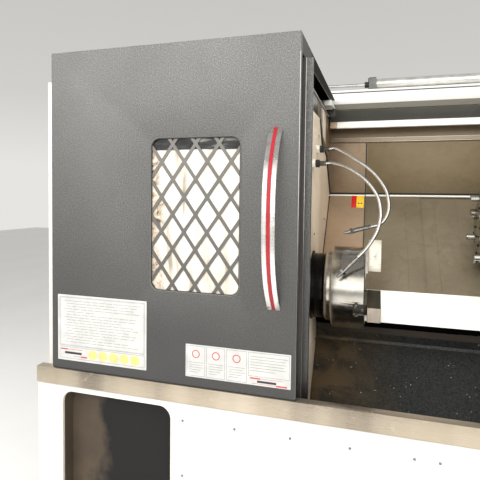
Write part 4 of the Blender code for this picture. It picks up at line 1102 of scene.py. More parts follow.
# Bright folded edges where the bands meet.
edges = Build("wall_fold_edges")
for y, z in ((1075.6, 933.0), (1075.8, 913.0)):
    edges.prism([(y - 0.9, z - 0.8), (y + 0.9, z - 0.8), (y + 0.9, z + 0.8), (y - 0.9, z + 0.8)], "X", 60 if z < 920 else 12, 1498)
edges.done(M["aluminium"], "machine", 0.3, slot="aluminium")
# Beyond the guard plate's rear edge: a brown sheet with a white and a beige strip.
Build("guard_back_sheet").prism([(560, 700), (1000, 480), (1091, 562), (1091, 1027), (560, 1027)], "X", -16.55, -16.15).done(
    M["guard_back"], "machine", 0, slot="stainless"
)
Build("corner_white_strip").prism([(700, 1026), (736, 1026), (748, 900), (722, 908)], "X", -16.3, -14.6).done(
    M["beam"], "machine", 0.3, slot="white_paint"
)
Build("corner_beige_strip").prism([(752, 1026), (872, 1026), (872, 880), (776, 905)], "X", -16.3, -13.6).done(
    M["guard_plate"], "machine", 0.3, slot="stainless"
)

refine("guard_plate", M["guard_plate"], "machine", 0.7, "guard_plate_skin")
paint("bulkhead", M["black"])
paint("slant_cover", M["cover_left"])
refine("lower_way_cover", M["way_white"], "machine", 0.8, "lower_way_cover_skin")
refine("way_cover_1", M["cover_right"], "cover_stage", 0.5, "way_cover_1_skin")
refine("way_cover_2", M["cover_right"], "carriage", 0.5, "way_cover_2_skin")
# Under the lower cover's lip: a near-black lip face and a dark apron sheet down to the tray, both painted shade.
Build("lower_cover_lip_face").sbox((-9.4, 639.8), (-36.0, -35.0), (-42.0, -1.4)).done(M["hood"], "machine", 0, slot="rubber")
Build("lower_cover_apron").prism([(588.4, 84), (590.4, 84), (600.6, 26), (598.8, 26)], "X", -9, 639).done(
    M["apron"], "machine", 0, slot="rubber"
)
Build("tray_upstand").prism([(592.7, 57), (598.2, 27.2), (592.2, 16.2), (593.4, 15.4), (600.4, 26.6), (594.6, 57)], "X", -9, 638.6).done(
    M["tray"], "machine", 0, slot="dark_steel"
)
refine("chip_tray", M["tray"], "machine", 0.3, "chip_tray_skin")
Build("slant_cover_sheet").sbox((-9.0, 171.0), (122, 694), (-0.2, 1.1)).done(M["cover_left"], "machine", 0.4, slot="stainless")
# The joint between the wall and the slanted cover: a dark gap under a bright folded edge.
Build("wall_joint_gap").prism([(1076.5, 641), (1084.6, 649.4), (1084.6, 644), (1080, 639.6)], "X", -9, 1498).done(M["rubber"], "machine", 0, slot="rubber")
Build("wall_joint_edge").prism([S(694.2, -0.2), S(702, -0.2), S(702, 3.0), S(694.2, 2.6)], "X", -9, 171.6).done(M["fold"], "machine", 0.3, slot="white_paint")
Build("wall_joint_edge_right").prism([S(694.2, -3.8), S(704, -3.8), S(704, 3.0), S(694.2, 2.6)], "X", 175.6, 1498).done(M["fold"], "machine", 0.3, slot="white_paint")
# Cross folds on the moving covers.
for name, body, xs, n0 in (("way_cover_1_folds", "cover_stage", (210, 371), -5), ("way_cover_2_folds", "carriage", (500, 600), -10)):
    f = Build(name)
    for x in xs:
        f.prism([(x - 1.6, n0 - 0.2), (x + 1.6, n0 - 0.2), (x + 0.8, n0 + 0.9), (x - 0.8, n0 + 0.9)], "X", 130, 696, where=lambda p, a: P(p[0], *S(a, p[1])))
    f.done(M["cover_right"], body, 0, slot="stainless")
Build("way_cover_1_wiper").sbox((436.5, 441.5), (126, 699), (-5.2, -3.6)).done(M["cover_right"], "cover_stage", 0.6, slot="stainless")

screws = Build("guard_plate_screws")
for y, z in ((463, 476), (300, 900), (140, 900), (140, 480), (140, 60), (140, -280), (560, -280), (560, 20), (560, 880), (300, 476), (640, 220), (830, 520), (880, 443), (1050, 580), (1050, 625), (860, 800), (700, 838)):
    if z <= y - 442 - 6 and y > 600:
        continue
    screws.dome_screw((-10.4, y, z), (1, 0, 0), 5.2)
screws.done(M["black_screw"], "machine", 0, slot="steel")
# A dark edge strip down the guard plate's rear edge.
strip = Build("guard_plate_edge")
rim_pts = [(592, 958), (676, 863), (872, 828), (1081, 646), (1081, 637)]
inner_pts = [(590, 951), (673, 857.5), (869, 822.5), (1075.5, 643), (1075.5, 637)]
strip.prism(rim_pts + list(reversed(inner_pts)), "X", -11, -4.4)
strip.done(M["rubber"], "machine", 0.4, slot="rubber")
Build("guard_plate_foot_seal").sbox((-10.2, -6.0), (122, 696), (-0.2, 1.9)).done(M["rubber"], "machine", 0.3, slot="rubber")

# Red and yellow plate on the wall's left sheet, at the joint.
patch = Build("joint_plate_yellow")
patch.prism([(131.4, 609), (167.6, 609), (167.6, 697), (131.4, 697)], "Y", 1.0, 1.9, where=lambda p, a: P(p[0], *S(p[1], a)))
patch.done(M["yellow"], "machine", 0.2, slot="red_plastic")
patch = Build("joint_plate_red")
patch.prism([(107.0, 609), (131.2, 609), (131.2, 697), (107.0, 697)], "Y", 1.0, 1.9, where=lambda p, a: P(p[0], *S(p[1], a)))
patch.done(M["red_button"], "machine", 0.2, slot="red_plastic")
marks = Build("joint_plate_marks")
for x, s in ((143, 640), (157, 640)):
    y, z = S(s, 1.8)
    marks.spin((x, y, z), (0, -H, H), [(0, 0), (0, 4.6), (0.3, 4.4), (0.3, 0)], 20)
marks.done(M["black_plastic"], "machine", 0, slot="black_plastic")

# ------------------------------------------------------------------ chuck
AX = (449.0, 275.0)
JAWS = (80.0, 200.0, 320.0)
b = Build("chuck_body_shell")
b.lathe(
    [
        (72, 46), (72, 154.5), (75, 157.5), (189.5, 157.5), (193, 154),
        (193, 118), (192.2, 117.2), (192.2, 114.8), (193, 114), (193, 72), (192.4, 71.4), (188, 66), (188, 52), (193, 50), (193, 46),
    ],
    AX,
    128,
    0.6,
)
shell = raw(b)


def radial(name, angle, r0, r1, half, x0, x1):
    c, s = math.cos(math.radians(angle)), math.sin(math.radians(angle))
    pts = [(AX[0] + r * c - w * s, AX[1] + r * s + w * c) for r, w in ((r0, -half), (r1, -half), (r1, half), (r0, half))]
    return Build(name).prism(pts, "X", x0, x1)


tools = []
for a in JAWS:
    tools += [radial("c", a, 20, 190, 22.7, 153, 203), radial("c", a, 20, 190, 30.0, 159, 171)]
holes = Build("c")
for k in range(3):
    for da in (-22, 0, 22):
        t = math.radians(20 + 120 * k + da)
        holes.spin((180, AX[0] + 134 * math.cos(t), AX[1] + 134 * math.sin(t)), (1, 0, 0), [(0, 0), (0, 8.2), (20, 8.2), (20, 0)], 20)
tools.append(holes)
carve(shell, tools)
soften_mesh(shell, 0.7, 2, 34)
finish_piece(shell, M["chuck"], "spindle_unit", 34, ("chuck_body",))
heads = Build("chuck_face_screws")
for k in range(3):
    for da in (-22, 0, 22):
        t = math.radians(20 + 120 * k + da)
        heads.cap_screw((180.4, AX[0] + 134 * math.cos(t), AX[1] + 134 * math.sin(t)), (1, 0, 0), 7.6, 9)
for a in (74.6, 194.6, 314.6):
    t = math.radians(180 - a)
    d = Vector((0, math.cos(t), math.sin(t)))
    at = Vector((138, AX[0], AX[1])) + d * 156.6
    heads.spin(at, d, [(0, 0), (0, 5.2), (0.95, 5.2), (1.3, 4.6), (1.3, 2.2, "hex"), (0.2, 2.2, "hex"), (0.2, 0)], 24)
heads.done(M["screw"], "spindle_unit", 0, slot="steel")

b = Build("chuck_adapter_ring")
b.lathe([(44.8, 42), (44.8, 131), (48.8, 135), (66, 135), (67, 134), (69, 134), (70, 135), (71.7, 134), (71.7, 42)], AX, 96, 0.6)
b.done(M["chuck"], "spindle_unit", 0, replaces="chuck_adapter", slot="steel")
b = Build("spindle_flange_ring")
b.lathe([(-70, 87), (-70, 150), (-36, 150), (-36, 126), (6, 126), (7.5, 124.5), (10, 124.5), (11.5, 126), (38, 126), (43.5, 121), (43.5, 87)], AX, 96, 0.9)
b.done(M["black"], "machine", 0, replaces="spindle_nose_flange", slot="black_paint")
ring = Build("spindle_flange_screws")
for k in range(8):
    t = math.radians(22.5 + 45 * k)
    ring.cap_screw((43.4, AX[0] + 104 * math.cos(t), AX[1] + 104 * math.sin(t)), (1, 0, 0), 6.5, 0.9)
ring.done(M["black_screw"], "machine", 0, slot="dark_steel")
b = Build("guard_hole_seal")
b.lathe([(-15.5, 127.0), (-9.2, 127.0), (-8.6, 128.6), (-8.8, 134.5), (-10.5, 135.5), (-10.5, 127.6), (-15.5, 127.4)], AX, 96, 0.3)
b.done(M["rubber"], "machine", 0, slot="rubber")
paint("spindle", M["steel"])
paint("chuck_cylinder", M["dark_steel"])


def jaw_set():
    """Master jaw and soft top jaw, built at the first angle; the loop below turns them to the others."""

    def at(p, a):
        # p is (radius, along X), a is across the jaw
        return P(p[1], AX[0] - a, AX[1] + p[0])

    master_pts = [(54, 153.6), (150.5, 153.6), (152, 155), (152, 200), (150.5, 201.8), (56, 201.8), (54, 200)]
    out = []
    m = Build("jaw_master")
    m.prism(master_pts, "Y", -22.2, 22.2, where=at)
    foot = [(54.4, 159.8), (151.6, 159.8), (151.6, 170.2), (54.4, 170.2)]
    for side in (-1, 1):
        m.prism(foot, "Y", side * 22.4, side * 29.4, where=at)
    # serrations: a fine comb between the master and the top jaw
    for k in range(30):
        r = 66 + k * 2.8
        if r > 148:
            break
        m.prism([(r, 201.6), (r + 1.3, 202.5), (r + 2.6, 201.6)], "Y", -21.6, 21.6, where=at)
    t = Build("jaw_top")
    top_pts = [
        (64, 203.4), (64.8, 202.6), (183.2, 202.6), (184, 203.4), (184, 248.2), (183.2, 249), (64.8, 249), (64, 248.2),
    ]
    t.prism(top_pts, "Y", -30, 30, where=at)
    return m, t, at


for i, ang in enumerate(JAWS, 1):
    m, t, at = jaw_set()
    spin_by = Matrix.Translation(P(0, *AX)) @ Matrix.Rotation(math.radians(ang - 90), 4, "X") @ Matrix.Translation(-P(0, *AX))
    body = "jaw_%d" % i
    bores = Build("c")
    for r in (112, 154):
        bores.spin((0, 0, 0), (1, 0, 0), [(236, 0), (236, 9.6), (260, 9.6), (260, 0)], 28)
        for v in bores.bm.verts:
            if not v.tag:
                v.co = v.co - P(0, 0, 0) + P(0, AX[0], AX[1] + r)
                v.tag = True
    side_hole = Build("c").spin((225, AX[0] - 34, AX[1] + 118), (0, 1, 0), [(0, 0), (0, 4), (12, 4), (12, 0)], 20)
    top = raw(t)
    top.name = top.data.name = "chuck_jaw_%d_top" % i
    carve(top, [bores, side_hole])
    top.data.transform(spin_by)
    soften_mesh(top, 0.9, 2, 34)
    # Jaw 2 takes the dark copy of the jaw steel: painted shade and reflection.
    finish_piece(top, M["jaw_oiled" if i == 2 else "jaw"], body, 34, ())
    face = Build("chuck_jaw_%d_end" % i)
    face.prism([(183.9, 203.6), (184.5, 204.2), (184.5, 247.4), (183.9, 248)], "Y", -29.2, 29.2, where=at)
    bmesh.ops.transform(face.bm, matrix=spin_by, verts=face.bm.verts)
    face.done(M["jaw_end"], body, 0.15, 1, slot="steel")
    bmesh.ops.transform(m.bm, matrix=spin_by, verts=m.bm.verts)
    m.name = "chuck_jaw_%d_base" % i
    m.done(M["jaw_base"], body, 0.25, 1, replaces="chuck_jaw_%d" % i, slot="steel")
    s = Build("chuck_jaw_%d_screws" % i)
    for r in (112, 154):
        s.cap_screw((236, AX[0], AX[1] + r), (1, 0, 0), 8.8, 10)
    for x, w in ((163, -9.5), (187, 5.5)):
        s.cap_screw((x, AX[0] - w, AX[1] + 151.8), (0, 0, 1), 6.6, 3.2)
    bmesh.ops.transform(s.bm, matrix=spin_by, verts=s.bm.verts)
    s.done(M["steel"], body, 0, slot="steel")

# ------------------------------------------------------------------ coolant hoses
def tube(name, pts, radius, mat, seg=16, pitch=9.0):
    """A mesh tube along points in millimetres, with a map: u in braid pitches along, v round."""
    b = Build(name)
    bm = b.bm
    uv = bm.loops.layers.uv.new("UVMap")
    pv = [Vector(p) for p in pts]
    tangents = [(pv[min(i + 1, len(pv) - 1)] - pv[max(i - 1, 0)]).normalized() for i in range(len(pv))]
    side = tangents[0].cross(Vector((0, 0, 1))).normalized()
    rows, dist = [], [0.0]
    for i, p in enumerate(pv):
        if i:
            axis = tangents[i - 1].cross(tangents[i])
            if axis.length > 1e-6:
                side = Matrix.Rotation(tangents[i - 1].angle(tangents[i]), 3, axis.normalized()) @ side
            dist.append(dist[-1] + (pv[i] - pv[i - 1]).length)
        up = side.cross(tangents[i])
        rows.append([bm.verts.new(P(*(p + side * radius * math.cos(2 * math.pi * k / seg) + up * radius * math.sin(2 * math.pi * k / seg)))) for k in range(seg)])
    for i in range(len(rows) - 1):
        for k in range(seg):
            j = (k + 1) % seg
            f = bm.faces.new((rows[i][k], rows[i][j], rows[i + 1][j], rows[i + 1][k]))
            f.smooth = True
            us = (dist[i] / pitch, dist[i] / pitch, dist[i + 1] / pitch, dist[i + 1] / pitch)
            vs = (k, k + 1, k + 1, k)
            for loop, u, v in zip(f.loops, us, vs):
                loop[uv].uv = (u, v * 8.0 / seg)
    bm.faces.new(list(reversed(rows[0])))
    bm.faces.new(rows[-1])
    me = bpy.data.meshes.new(name)
    bmesh.ops.recalc_face_normals(bm, faces=bm.faces)
    bm.to_mesh(me)
    bm.free()
    ob = bpy.data.objects.new(name, me)
    scene.collection.objects.link(ob)
    return ob


for tag, (fy, fz) in (("upper", (506.0, 820.0)), ("lower", (376.0, 752.0))):
    route = ROUTES[tag]
    fine = spline(route, 6.0)
    plain = spline(route, 25.0)
    hose = tube("braided_hose_" + tag, fine, HOSE_D / 2, M["braid"])
    finish_piece(hose, M["braid"], "machine", 60, ("coolant_hose_" + tag,))
    fit = Build("hose_union_" + tag)
    fit.spin((0, fy, fz), (1, 0, 0), [(-10, 0), (-10, 14.7, "hex"), (1.4, 14.7, "hex"), (2, 13.8), (2, 10.6), (5, 10.6), (5, 0)], 24)
    fit.done(M["fold"], "machine", 0, replaces="hose_fitting_" + tag, slot="steel")
    gland = Build("hose_gland_" + tag)
    gland.spin((0, fy, fz), (1, 0, 0), [(3.2, 0), (3.2, 14.6), (4, 15), (6.6, 15), (7.2, 14.0), (8.2, 14.0), (8.8, 15), (11.4, 15), (12, 14.0), (13, 14.0), (13.6, 15), (16.2, 15), (17.2, 14), (17.2, 0)], 28)
    gland.done(M["black_plastic"], "machine", 0, slot="black_plastic")
    ferrule = Build("hose_ferrule_" + tag)
    ferrule.spin((0, fy, fz), (1, 0, 0), [(16.8, 0), (16.8, 9.6), (18, 10), (21, 10), (21.6, 9.2), (23, 9.2), (23.6, 9.6), (26, 9.6), (26.6, 9), (28, 9), (28.6, 9.4), (32, 9.4), (32.6, 8.9), (34, 8.9), (34.6, 9.3), (39, 8.9), (39.5, 8.2), (39.5, 0)], 28)
    ferrule.done(M["ferrule"], "machine", 0, slot="steel")
    end, before = Vector(plain[-1]), Vector(plain[-2])
    d = (end - before).normalized()
    noz = Build("nozzle_" + tag)
    noz.spin(
        end + d * 0.4,
        d,
        [
            (0, 0), (0, 8.2), (2, 9), (9, 9), (9.6, 8.0), (11.6, 8.0), (12.2, 9), (28, 9), (28.6, 8.2), (30.4, 8.2), (31, 9), (48, 9), (48.6, 8.0),
            (50.6, 8.0), (51.2, 9), (69, 9), (70, 9.6), (70, 11.8, "hex"), (77.4, 11.8, "hex"), (78, 11), (78, 8), (80, 7.4), (88, 6.2), (102, 4.5),
            (102, 3.2), (94, 3.0), (94, 0),
        ],
        24,
    )
    nozzle = noz.done(M["nozzle"], "machine", 0, replaces="coolant_nozzle_" + tag, slot="steel")

# ------------------------------------------------------------------ door cylinder
CY, CZ = 1046.0, 1197.0
b = Build("cylinder_head_block")
b.prism(rounded(CY - 31, CZ - 31, CY + 31, CZ + 31, 7, 4), "X", 181, 216)
b.lathe([(160, 9), (160, 14), (163, 15), (168, 15), (169, 13.6), (172, 13.6), (173, 15), (181.2, 15), (181.2, 9)], (CY, CZ), 40, 0.3)
b.box((172, CY - 18, 1152.4), (224, CY + 17, 1168))
b.done(M["cap"], "machine", 0.9, replaces="cylinder_head", slot="casting")
b = Build("cylinder_gland_sleeve")
b.lathe([(159.4, 9.2), (159.4, 14.2), (162.6, 15.4), (168.2, 15.4), (169.2, 14), (172, 14), (173, 15.4), (180.8, 15.4), (180.8, 9.2)], (CY, CZ), 40, 0.3)
b.box((171.6, CY - 18.4, 1152.3), (224.4, CY + 17.4, 1167.8))
b.done(M["black_plastic"], "machine", 0.4, slot="black_plastic")
b = Build("cylinder_tube")
b.lathe([(216.4, 23.6), (216.4, 27), (1152, 27), (1152, 23.6)], (CY, CZ), 48, 0.3)
b.done(M["cyl"], "machine", 0, slot="aluminium")
b = Build("cylinder_rear_block")
b.prism(rounded(CY - 31, CZ - 31, CY + 31, CZ + 31, 7, 4), "X", 1151, 1186)
b.box((1142, CY - 18, 1152.4), (1194, CY + 17, 1168))
b.done(M["cap"], "machine", 0.9, replaces="cylinder_barrel", slot="aluminium")
b = Build("cylinder_tie_nuts")
for dy in (-22, 22):
    for dz in (-22, 22):
        b.hex_nut((181, CY + dy, CZ + dz), (-1, 0, 0), 5.2, 5)
        b.hex_nut((1186, CY + dy, CZ + dz), (1, 0, 0), 5.2, 5)
for x in (177, 219, 1147, 1189):
    b.cap_screw((x, CY - 13, 1168), (0, 0, 1), 3.2, 3)
b.done(M["screw"], "machine", 0, slot="steel")
b = Build("cylinder_air_ports")
for x in (200, 1168):
    b.spin((x, CY + 31, CZ), (0, 1, 0), [(-0.4, 0), (-0.4, 7, "hex"), (6, 7, "hex"), (6, 5.6), (16, 5.6), (17, 4.6), (17, 0)], 24)
b.done(M["black_plastic"], "machine", 0, slot="black_plastic")

# ------------------------------------------------------------------ machine insides
for n in ("bed_casting", "headstock_casting"):
    refine(n, M["casting"], "machine", 1.5, n + "_skin")
refine("tailstock_body", M["casting"], "tailstock", 1.5, "tailstock_body_skin")
refine("saddle", M["casting"], "carriage", 1.5, "saddle_skin")
refine("turret_slide", M["casting"], "cross_slide", 2.0, "turret_slide_skin")
refine("turret_disc", M["steel"], "turret", 1.0, "turret_disc_skin")
paint("tailstock_quill", M["steel"])
paint("live_centre", M["steel"])
refine("spindle_motor", M["black_plastic"], "machine", 1.2, "spindle_motor_skin")
paint("motor_pulley", M["dark_steel"])
paint("drive_belt", M["rubber"])

TS = S(330, 189.5)
tt = Build("turret_station_screws")
for k in range(8):
    a = math.radians(45 * k + 22.5)
    c, s = math.cos(a), math.sin(a)
    for w in (-20, 20):
        y, z = TS[0] + 129 * c - w * s, TS[1] + 129 * s + w * c
        tt.cap_screw((640, y, z), (-1, 0, 0), 5, 5)
    y, z = TS[0] + 84 * c, TS[1] + 84 * s
    tt.cap_screw((636, y, z), (-1, 0, 0), 6, 4)
for k in range(6):
    a = math.radians(60 * k)
    tt.cap_screw((626, TS[0] + 44 * math.cos(a), TS[1] + 44 * math.sin(a)), (-1, 0, 0), 5, 4)
tt.done(M["black_screw"], "turret", 0, slot="dark_steel")
tq = Build("turret_house_screws")
for s_, n_ in ((250, 90), (250, 270), (410, 90), (410, 270)):
    y, z = S(s_, n_)
    tq.cap_screw((975, y, z), (1, 0, 0), 6, 4)
tq.done(M["black_screw"], "cross_slide", 0, slot="dark_steel")

# ------------------------------------------------------------------ control panel
refine("panel_housing", M["charcoal_fine"], "machine", 2.0, "panel_housing_skin", 3)
bez = Build("screen_bezel")
outer, inner = rounded(1002, 532, 1358, 828, 10, 5), rounded(1014, 544, 1346, 816, 5, 5)
prof = [(0.0, -61.4), (0.0, -65.0), (0.25, -66.2), (0.85, -65.4), (1.0, -60.0), (1.0, -55.0), (0.5, -55.0), (0.45, -61.4)]
rings = []
for f, y in prof:
    rings.append([bez.bm.verts.new(P(a[0] + (b_[0] - a[0]) * f, y, a[1] + (b_[1] - a[1]) * f)) for a, b_ in zip(outer, inner)])
for k in range(len(rings)):
    a, b_ = rings[k], rings[(k + 1) % len(rings)]
    for i in range(len(a)):
        j = (i + 1) % len(a)
        bez.bm.faces.new((a[i], b_[i], b_[j], a[j]))
bez.done(M["black_plastic"], "machine", slot="black_plastic")
Build("screen_pane").box((1013, -57.5, 543), (1347, -54.4, 817)).done(M["screen"], "machine", 0.5, slot="glass")
keys = Build("panel_keys")
for r in range(7):
    for c in range(5):
        x, z = 1378 + c * 25, 800 - r * 26
        keys.prism(rounded(x, z - 19, x + 20, z, 3, 3), "Y", -65.2, -61.8)
for c in range(10):
    x = 1012 + c * 34
    keys.prism(rounded(x, 500, x + 27, 517, 3, 3), "Y", -65.0, -61.6)
keys.done(M["grey_plastic"], "machine", 0.6, slot="black_plastic")
pad = Build("panel_lower_keys")
for r in range(3):
    for c in range(9):
        x, z = 1100 + c * 30, 424 - r * 24
        if r == 2 and 3 <= c <= 5:
            continue
        pad.prism(rounded(x, z - 17, x + 23, z, 3, 3), "Y", -86.6, -83.8)
pad.done(M["grey_plastic"], "machine", 0.6, slot="black_plastic")
ring = Build("estop_ring")
ring.spin((1450, -84, 320), (0, -1, 0), [(-0.4, 21.4), (-0.4, 30), (1.2, 30), (1.8, 29), (1.8, 22.2), (1.2, 21.4)], 48)
ring.done(M["yellow"], "machine", 0, slot="red_plastic")
b = Build("estop_head")
b.spin((1450, 0, 320), (0, -1, 0), [(56, 0), (56, 12), (90, 12), (90.6, 15), (91.4, 18.6), (93, 20), (95.4, 20), (97.6, 18), (99.2, 13), (100, 6), (100, 0)], 48)
b.done(M["red_button"], "estop", 0, replaces="estop_button", slot="red_plastic")
b = Build("start_cap")
b.spin((1340, 0, 330), (0, -1, 0), [(60, 0), (60, 11), (88.4, 11), (89.5, 10.2), (90, 8.6), (89.4, 7), (89.2, 0)], 40)
b.done(M["green"], "start_button", 0, replaces="cycle_start_button", slot="green_plastic")
ring = Build("start_ring")
ring.spin((1340, -84, 330), (0, -1, 0), [(-0.4, 11.9), (-0.4, 17), (2.4, 17), (3.2, 16), (3.2, 12.6), (2.6, 11.9)], 40)
ring.done(M["aluminium"], "machine", 0, slot="aluminium")
b = Build("handwheel_disc")
b.spin(
    (1060, 0, 330),
    (0, -1, 0),
    [(56, 0), (56, 8), (85, 8), (85, 36), (86, 38)] + [(87 + k * 1.2, 40 if k % 2 else 39.2) for k in range(6)] + [(95.4, 38), (96, 35), (95.2, 33.4), (95.2, 12), (96.4, 10), (97, 6), (97, 0)],
    72,
)
b.done(M["black_plastic"], "handwheel", 0, replaces="pulse_handwheel", slot="black_plastic")
grip = Build("handwheel_crank")
grip.spin((1060 + 26, -94.6, 330), (0, -1, 0), [(0, 0), (0, 4.6), (1.4, 5), (4.2, 5), (5.2, 4), (5.2, 0)], 24)
grip.done(M["aluminium"], "handwheel", 0, slot="aluminium")
dial = Build("handwheel_dial")
for k in range(50):
    t = 2 * math.pi * k / 50
    r0, r1 = 42.5, 48.0 if k % 5 == 0 else 45.5
    c, s = math.cos(t), math.sin(t)
    w = 0.5
    pts = [(1060 + r * c - q * s, 330 + r * s + q * c) for r, q in ((r0, -w), (r1, -w), (r1, w), (r0, w))]
    dial.prism(pts, "Y", -84.5, -83.8)
dial.done(M["label"], "machine", 0, slot="white_paint")
b = Build("override_dial")
b.spin((1220, 0, 330), (0, -1, 0), [(56, 0), (56, 6), (85, 6), (85, 17), (86, 17.4), (89, 17.4), (90, 15.4), (96, 14), (97, 13), (97, 0)], 40)
b.box((1218.6, -96.9, 330), (1221.4, -84.8, 345.5))
b.done(M["black_plastic"], "knob", 0, replaces="override_knob", slot="black_plastic")
ticks = Build("override_ticks")
for k in range(15):
    t = math.radians(90 - 140 + 20 * k)
    c, s = math.cos(t), math.sin(t)
    pts = [(1220 + r * c - q * s, 330 + r * s + q * c) for r, q in ((20, -0.5), (24, -0.5), (24, 0.5), (20, 0.5))]
    ticks.prism(pts, "Y", -84.5, -83.8)
ticks.done(M["label"], "machine", 0, slot="white_paint")
sc = Build("panel_screws")
for x in (974, 1506):
    for z in (860, 486):
        sc.dome_screw((x, -62.2 if z > 480 else -84, z), (0, -1, 0), 4)
sc.done(M["black_screw"], "machine", 0, slot="dark_steel")

# ------------------------------------------------------------------ right front and back
cover("right_front_cover", (900, 0, -40), (1585, 0, 200), (0, -1, 0), M["white"], 8, (6, 2))
cover("right_front_upper", (900, 0, 900), (1585, 0, 1100), (0, -1, 0), M["white"], 8, (6, 2))


def louvres(name, x0, x1, zs, y, body, mat, out=1):
    """Pressed slots standing on a wall that faces +Y (out=1)."""
    b = Build(name)
    for z in zs:
        b.prism([(y - 0.4 * out, z), (y + 3.2 * out, z + 1.5), (y + 3.2 * out, z + 4), (y - 0.4 * out, z + 15)], "X", x0, x1)
    b.done(mat, body, 0.6, slot="white_paint")


louvres("cabinet_louvres_low", 520, 1000, [60 + 26 * k for k in range(7)], 1399.9, "rear_door", M["white"])
louvres("cabinet_louvres_high", 520, 1000, [820 + 26 * k for k in range(7)], 1399.9, "rear_door", M["white"])
louvres("belt_louvres", -820, -380, [560 + 26 * k for k in range(8)], 1399.9, "machine", M["white"])
cover("rear_left_cover", (-900, 1400, 20), (300, 1400, 500), (0, 1, 0), M["white"], 8, (6, 3))
hinges = Build("cabinet_hinges")
for z in (120, 500, 880):
    hinges.spin((1590, 1398, z), (0, 0, 1), [(0, 0), (0, 2.2), (0.3, 2.45), (22.6, 2.45), (23, 2.1), (23.6, 2.1), (24, 2.45), (46, 2.45), (46.4, 2.1), (47, 2.1), (47.4, 2.45), (69.7, 2.45), (70, 2.2), (70, 0)], 20)
hinges.done(M["dark_steel"], "rear_door", 0, slot="dark_steel")
latch = Build("cabinet_latch")
latch.prism(rounded(414, 490, 436, 600, 6, 4), "Y", 1399.6, 1403.6)
latch.done(M["black_plastic"], "rear_door", 0.8, slot="black_plastic")
latch = Build("cabinet_locks")
for z in (90, 960):
    latch.spin((420, 1399.8, z), (0, 1, 0), [(0, 0), (0, 12), (2.2, 12), (3.4, 10.5), (3.4, 3), (2.2, 3), (2.2, 0)], 28)
latch.done(M["dark_steel"], "rear_door", 0, slot="dark_steel")

# ------------------------------------------------------------------ floor, light, world
floor_mat = Shade("studio_floor", (0.90, 0.895, 0.88), 0.7, 0.0)
floor_mat.base(floor_mat.ramp(floor_mat.noise(1.6, 3.0), [(0.3, (0.89, 0.885, 0.87)), (0.7, (0.92, 0.915, 0.90))]))
fm = bpy.data.meshes.new("studio_floor")
R = 14.0
fm.from_pydata([(-R, -R, -0.001), (R, -R, -0.001), (R, R, -0.001), (-R, R, -0.001)], [], [(0, 1, 2, 3)])
floor = bpy.data.objects.new("studio_floor", fm)
fm.materials.append(floor_mat.m)
scene.collection.objects.link(floor)

world = bpy.data.worlds.new("studio_world")
scene.world = world
world.use_nodes = True
wt = world.node_tree
bg = wt.nodes["Background"]
tc = wt.nodes.new("ShaderNodeTexCoord")
sep = wt.nodes.new("ShaderNodeSeparateXYZ")
ramp = wt.nodes.new("ShaderNodeValToRGB")
mr = wt.nodes.new("ShaderNodeMapRange")
mr.inputs["From Min"].default_value = -1.0
mr.inputs["From Max"].default_value = 1.0
wt.links.new(tc.outputs["Generated"], sep.inputs[0])
wt.links.new(sep.outputs[2], mr.inputs["Value"])
wt.links.new(mr.outputs["Result"], ramp.inputs["Fac"])
els = ramp.color_ramp.elements
stops = [(0.0, 0.50), (0.41, 0.60), (0.46, 0.72), (0.53, 0.72), (0.60, 0.58), (0.75, 0.50), (0.86, 0.34), (1.0, 0.28)]
while len(els) < len(stops):
    els.new(0.5)
for e, (p, v) in zip(els, stops):
    e.position = p
    e.color = (v, v * 0.985, v * 0.955, 1.0)


def world_math(op, a, b=0.0):
    n = wt.nodes.new("ShaderNodeMath")
    n.operation = op
    for v, s in ((a, n.inputs[0]), (b, n.inputs[1])):
        if isinstance(v, bpy.types.NodeSocket):
            wt.links.new(v, s)
        else:
            s.default_value = v
    return n.outputs[0]


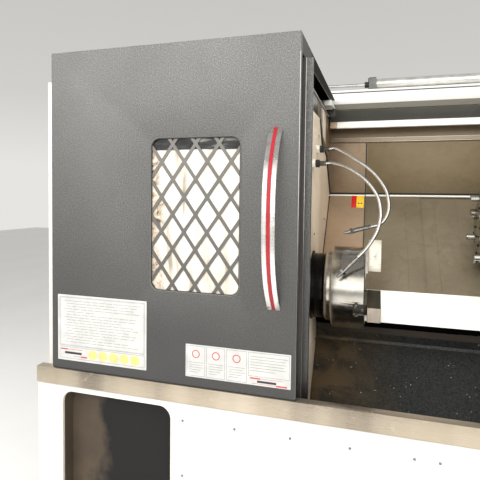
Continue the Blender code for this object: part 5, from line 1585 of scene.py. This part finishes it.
def world_step(value, a, b):
    n = wt.nodes.new("ShaderNodeMapRange")
    n.interpolation_type = "SMOOTHSTEP"
    n.inputs["From Min"].default_value = a
    n.inputs["From Max"].default_value = b
    wt.links.new(value, n.inputs["Value"])
    return n.outputs["Result"]


# A wide soft window of light in front of the machine, between 6 and 38 degrees up.
flat = world_math("SQRT", world_math("ADD", world_math("MULTIPLY", sep.outputs[0], sep.outputs[0]), world_math("MULTIPLY", sep.outputs[1], sep.outputs[1])))
ahead = world_step(world_math("DIVIDE", world_math("MULTIPLY", sep.outputs[1], -1.0), world_math("MAXIMUM", flat, 0.01)), 0.55, 0.72)
low = world_step(sep.outputs[2], -0.03, 0.10)
high = world_math("SUBTRACT", 1.0, world_step(sep.outputs[2], 0.55, 0.66))
window = world_math("MULTIPLY", world_math("MULTIPLY", ahead, low), high)
wt.links.new(ramp.outputs["Color"], bg.inputs["Color"])
wt.links.new(world_math("ADD", world_math("MULTIPLY", window, 2.7), 1.1), bg.inputs["Strength"])


def area(name, at, to, size, power, colour=(1, 1, 1), spread=math.pi, glossy=True):
    d = bpy.data.lights.new(name, "AREA")
    d.shape = "RECTANGLE"
    d.size, d.size_y = size
    d.energy = power
    d.color = colour
    d.spread = spread
    o = bpy.data.objects.new(name, d)
    scene.collection.objects.link(o)
    o.location = P(*at)
    o.rotation_euler = (P(*to) - P(*at)).to_track_quat("-Z", "Y").to_euler()
    o.visible_glossy = glossy
    return o


area("key", (-150, -3300, 2600), (-250, 0, 500), (0.9, 1.3), 78, (1.0, 0.985, 0.96), glossy=False)
area("soft", (-640, -1250, 2050), (-560, 0, 900), (0.5, 0.5), 17, (1.0, 0.99, 0.98), glossy=False)
area("side", (2300, -2600, 2500), (200, 500, 300), (1.8, 1.6), 60, (1.0, 0.985, 0.96), glossy=False)
area("top", (300, 300, 3600), (300, 500, 0), (3.2, 2.4), 70, (1.0, 0.99, 0.97), glossy=False)
area("fill", (-2300, -2000, 1700), (-100, 0, 500), (0.9, 0.9), 34, (0.98, 0.985, 1.0), glossy=False)
scene.view_settings.view_transform = "Standard"
scene.view_settings.look = "None"
scene.view_settings.exposure = 0.0
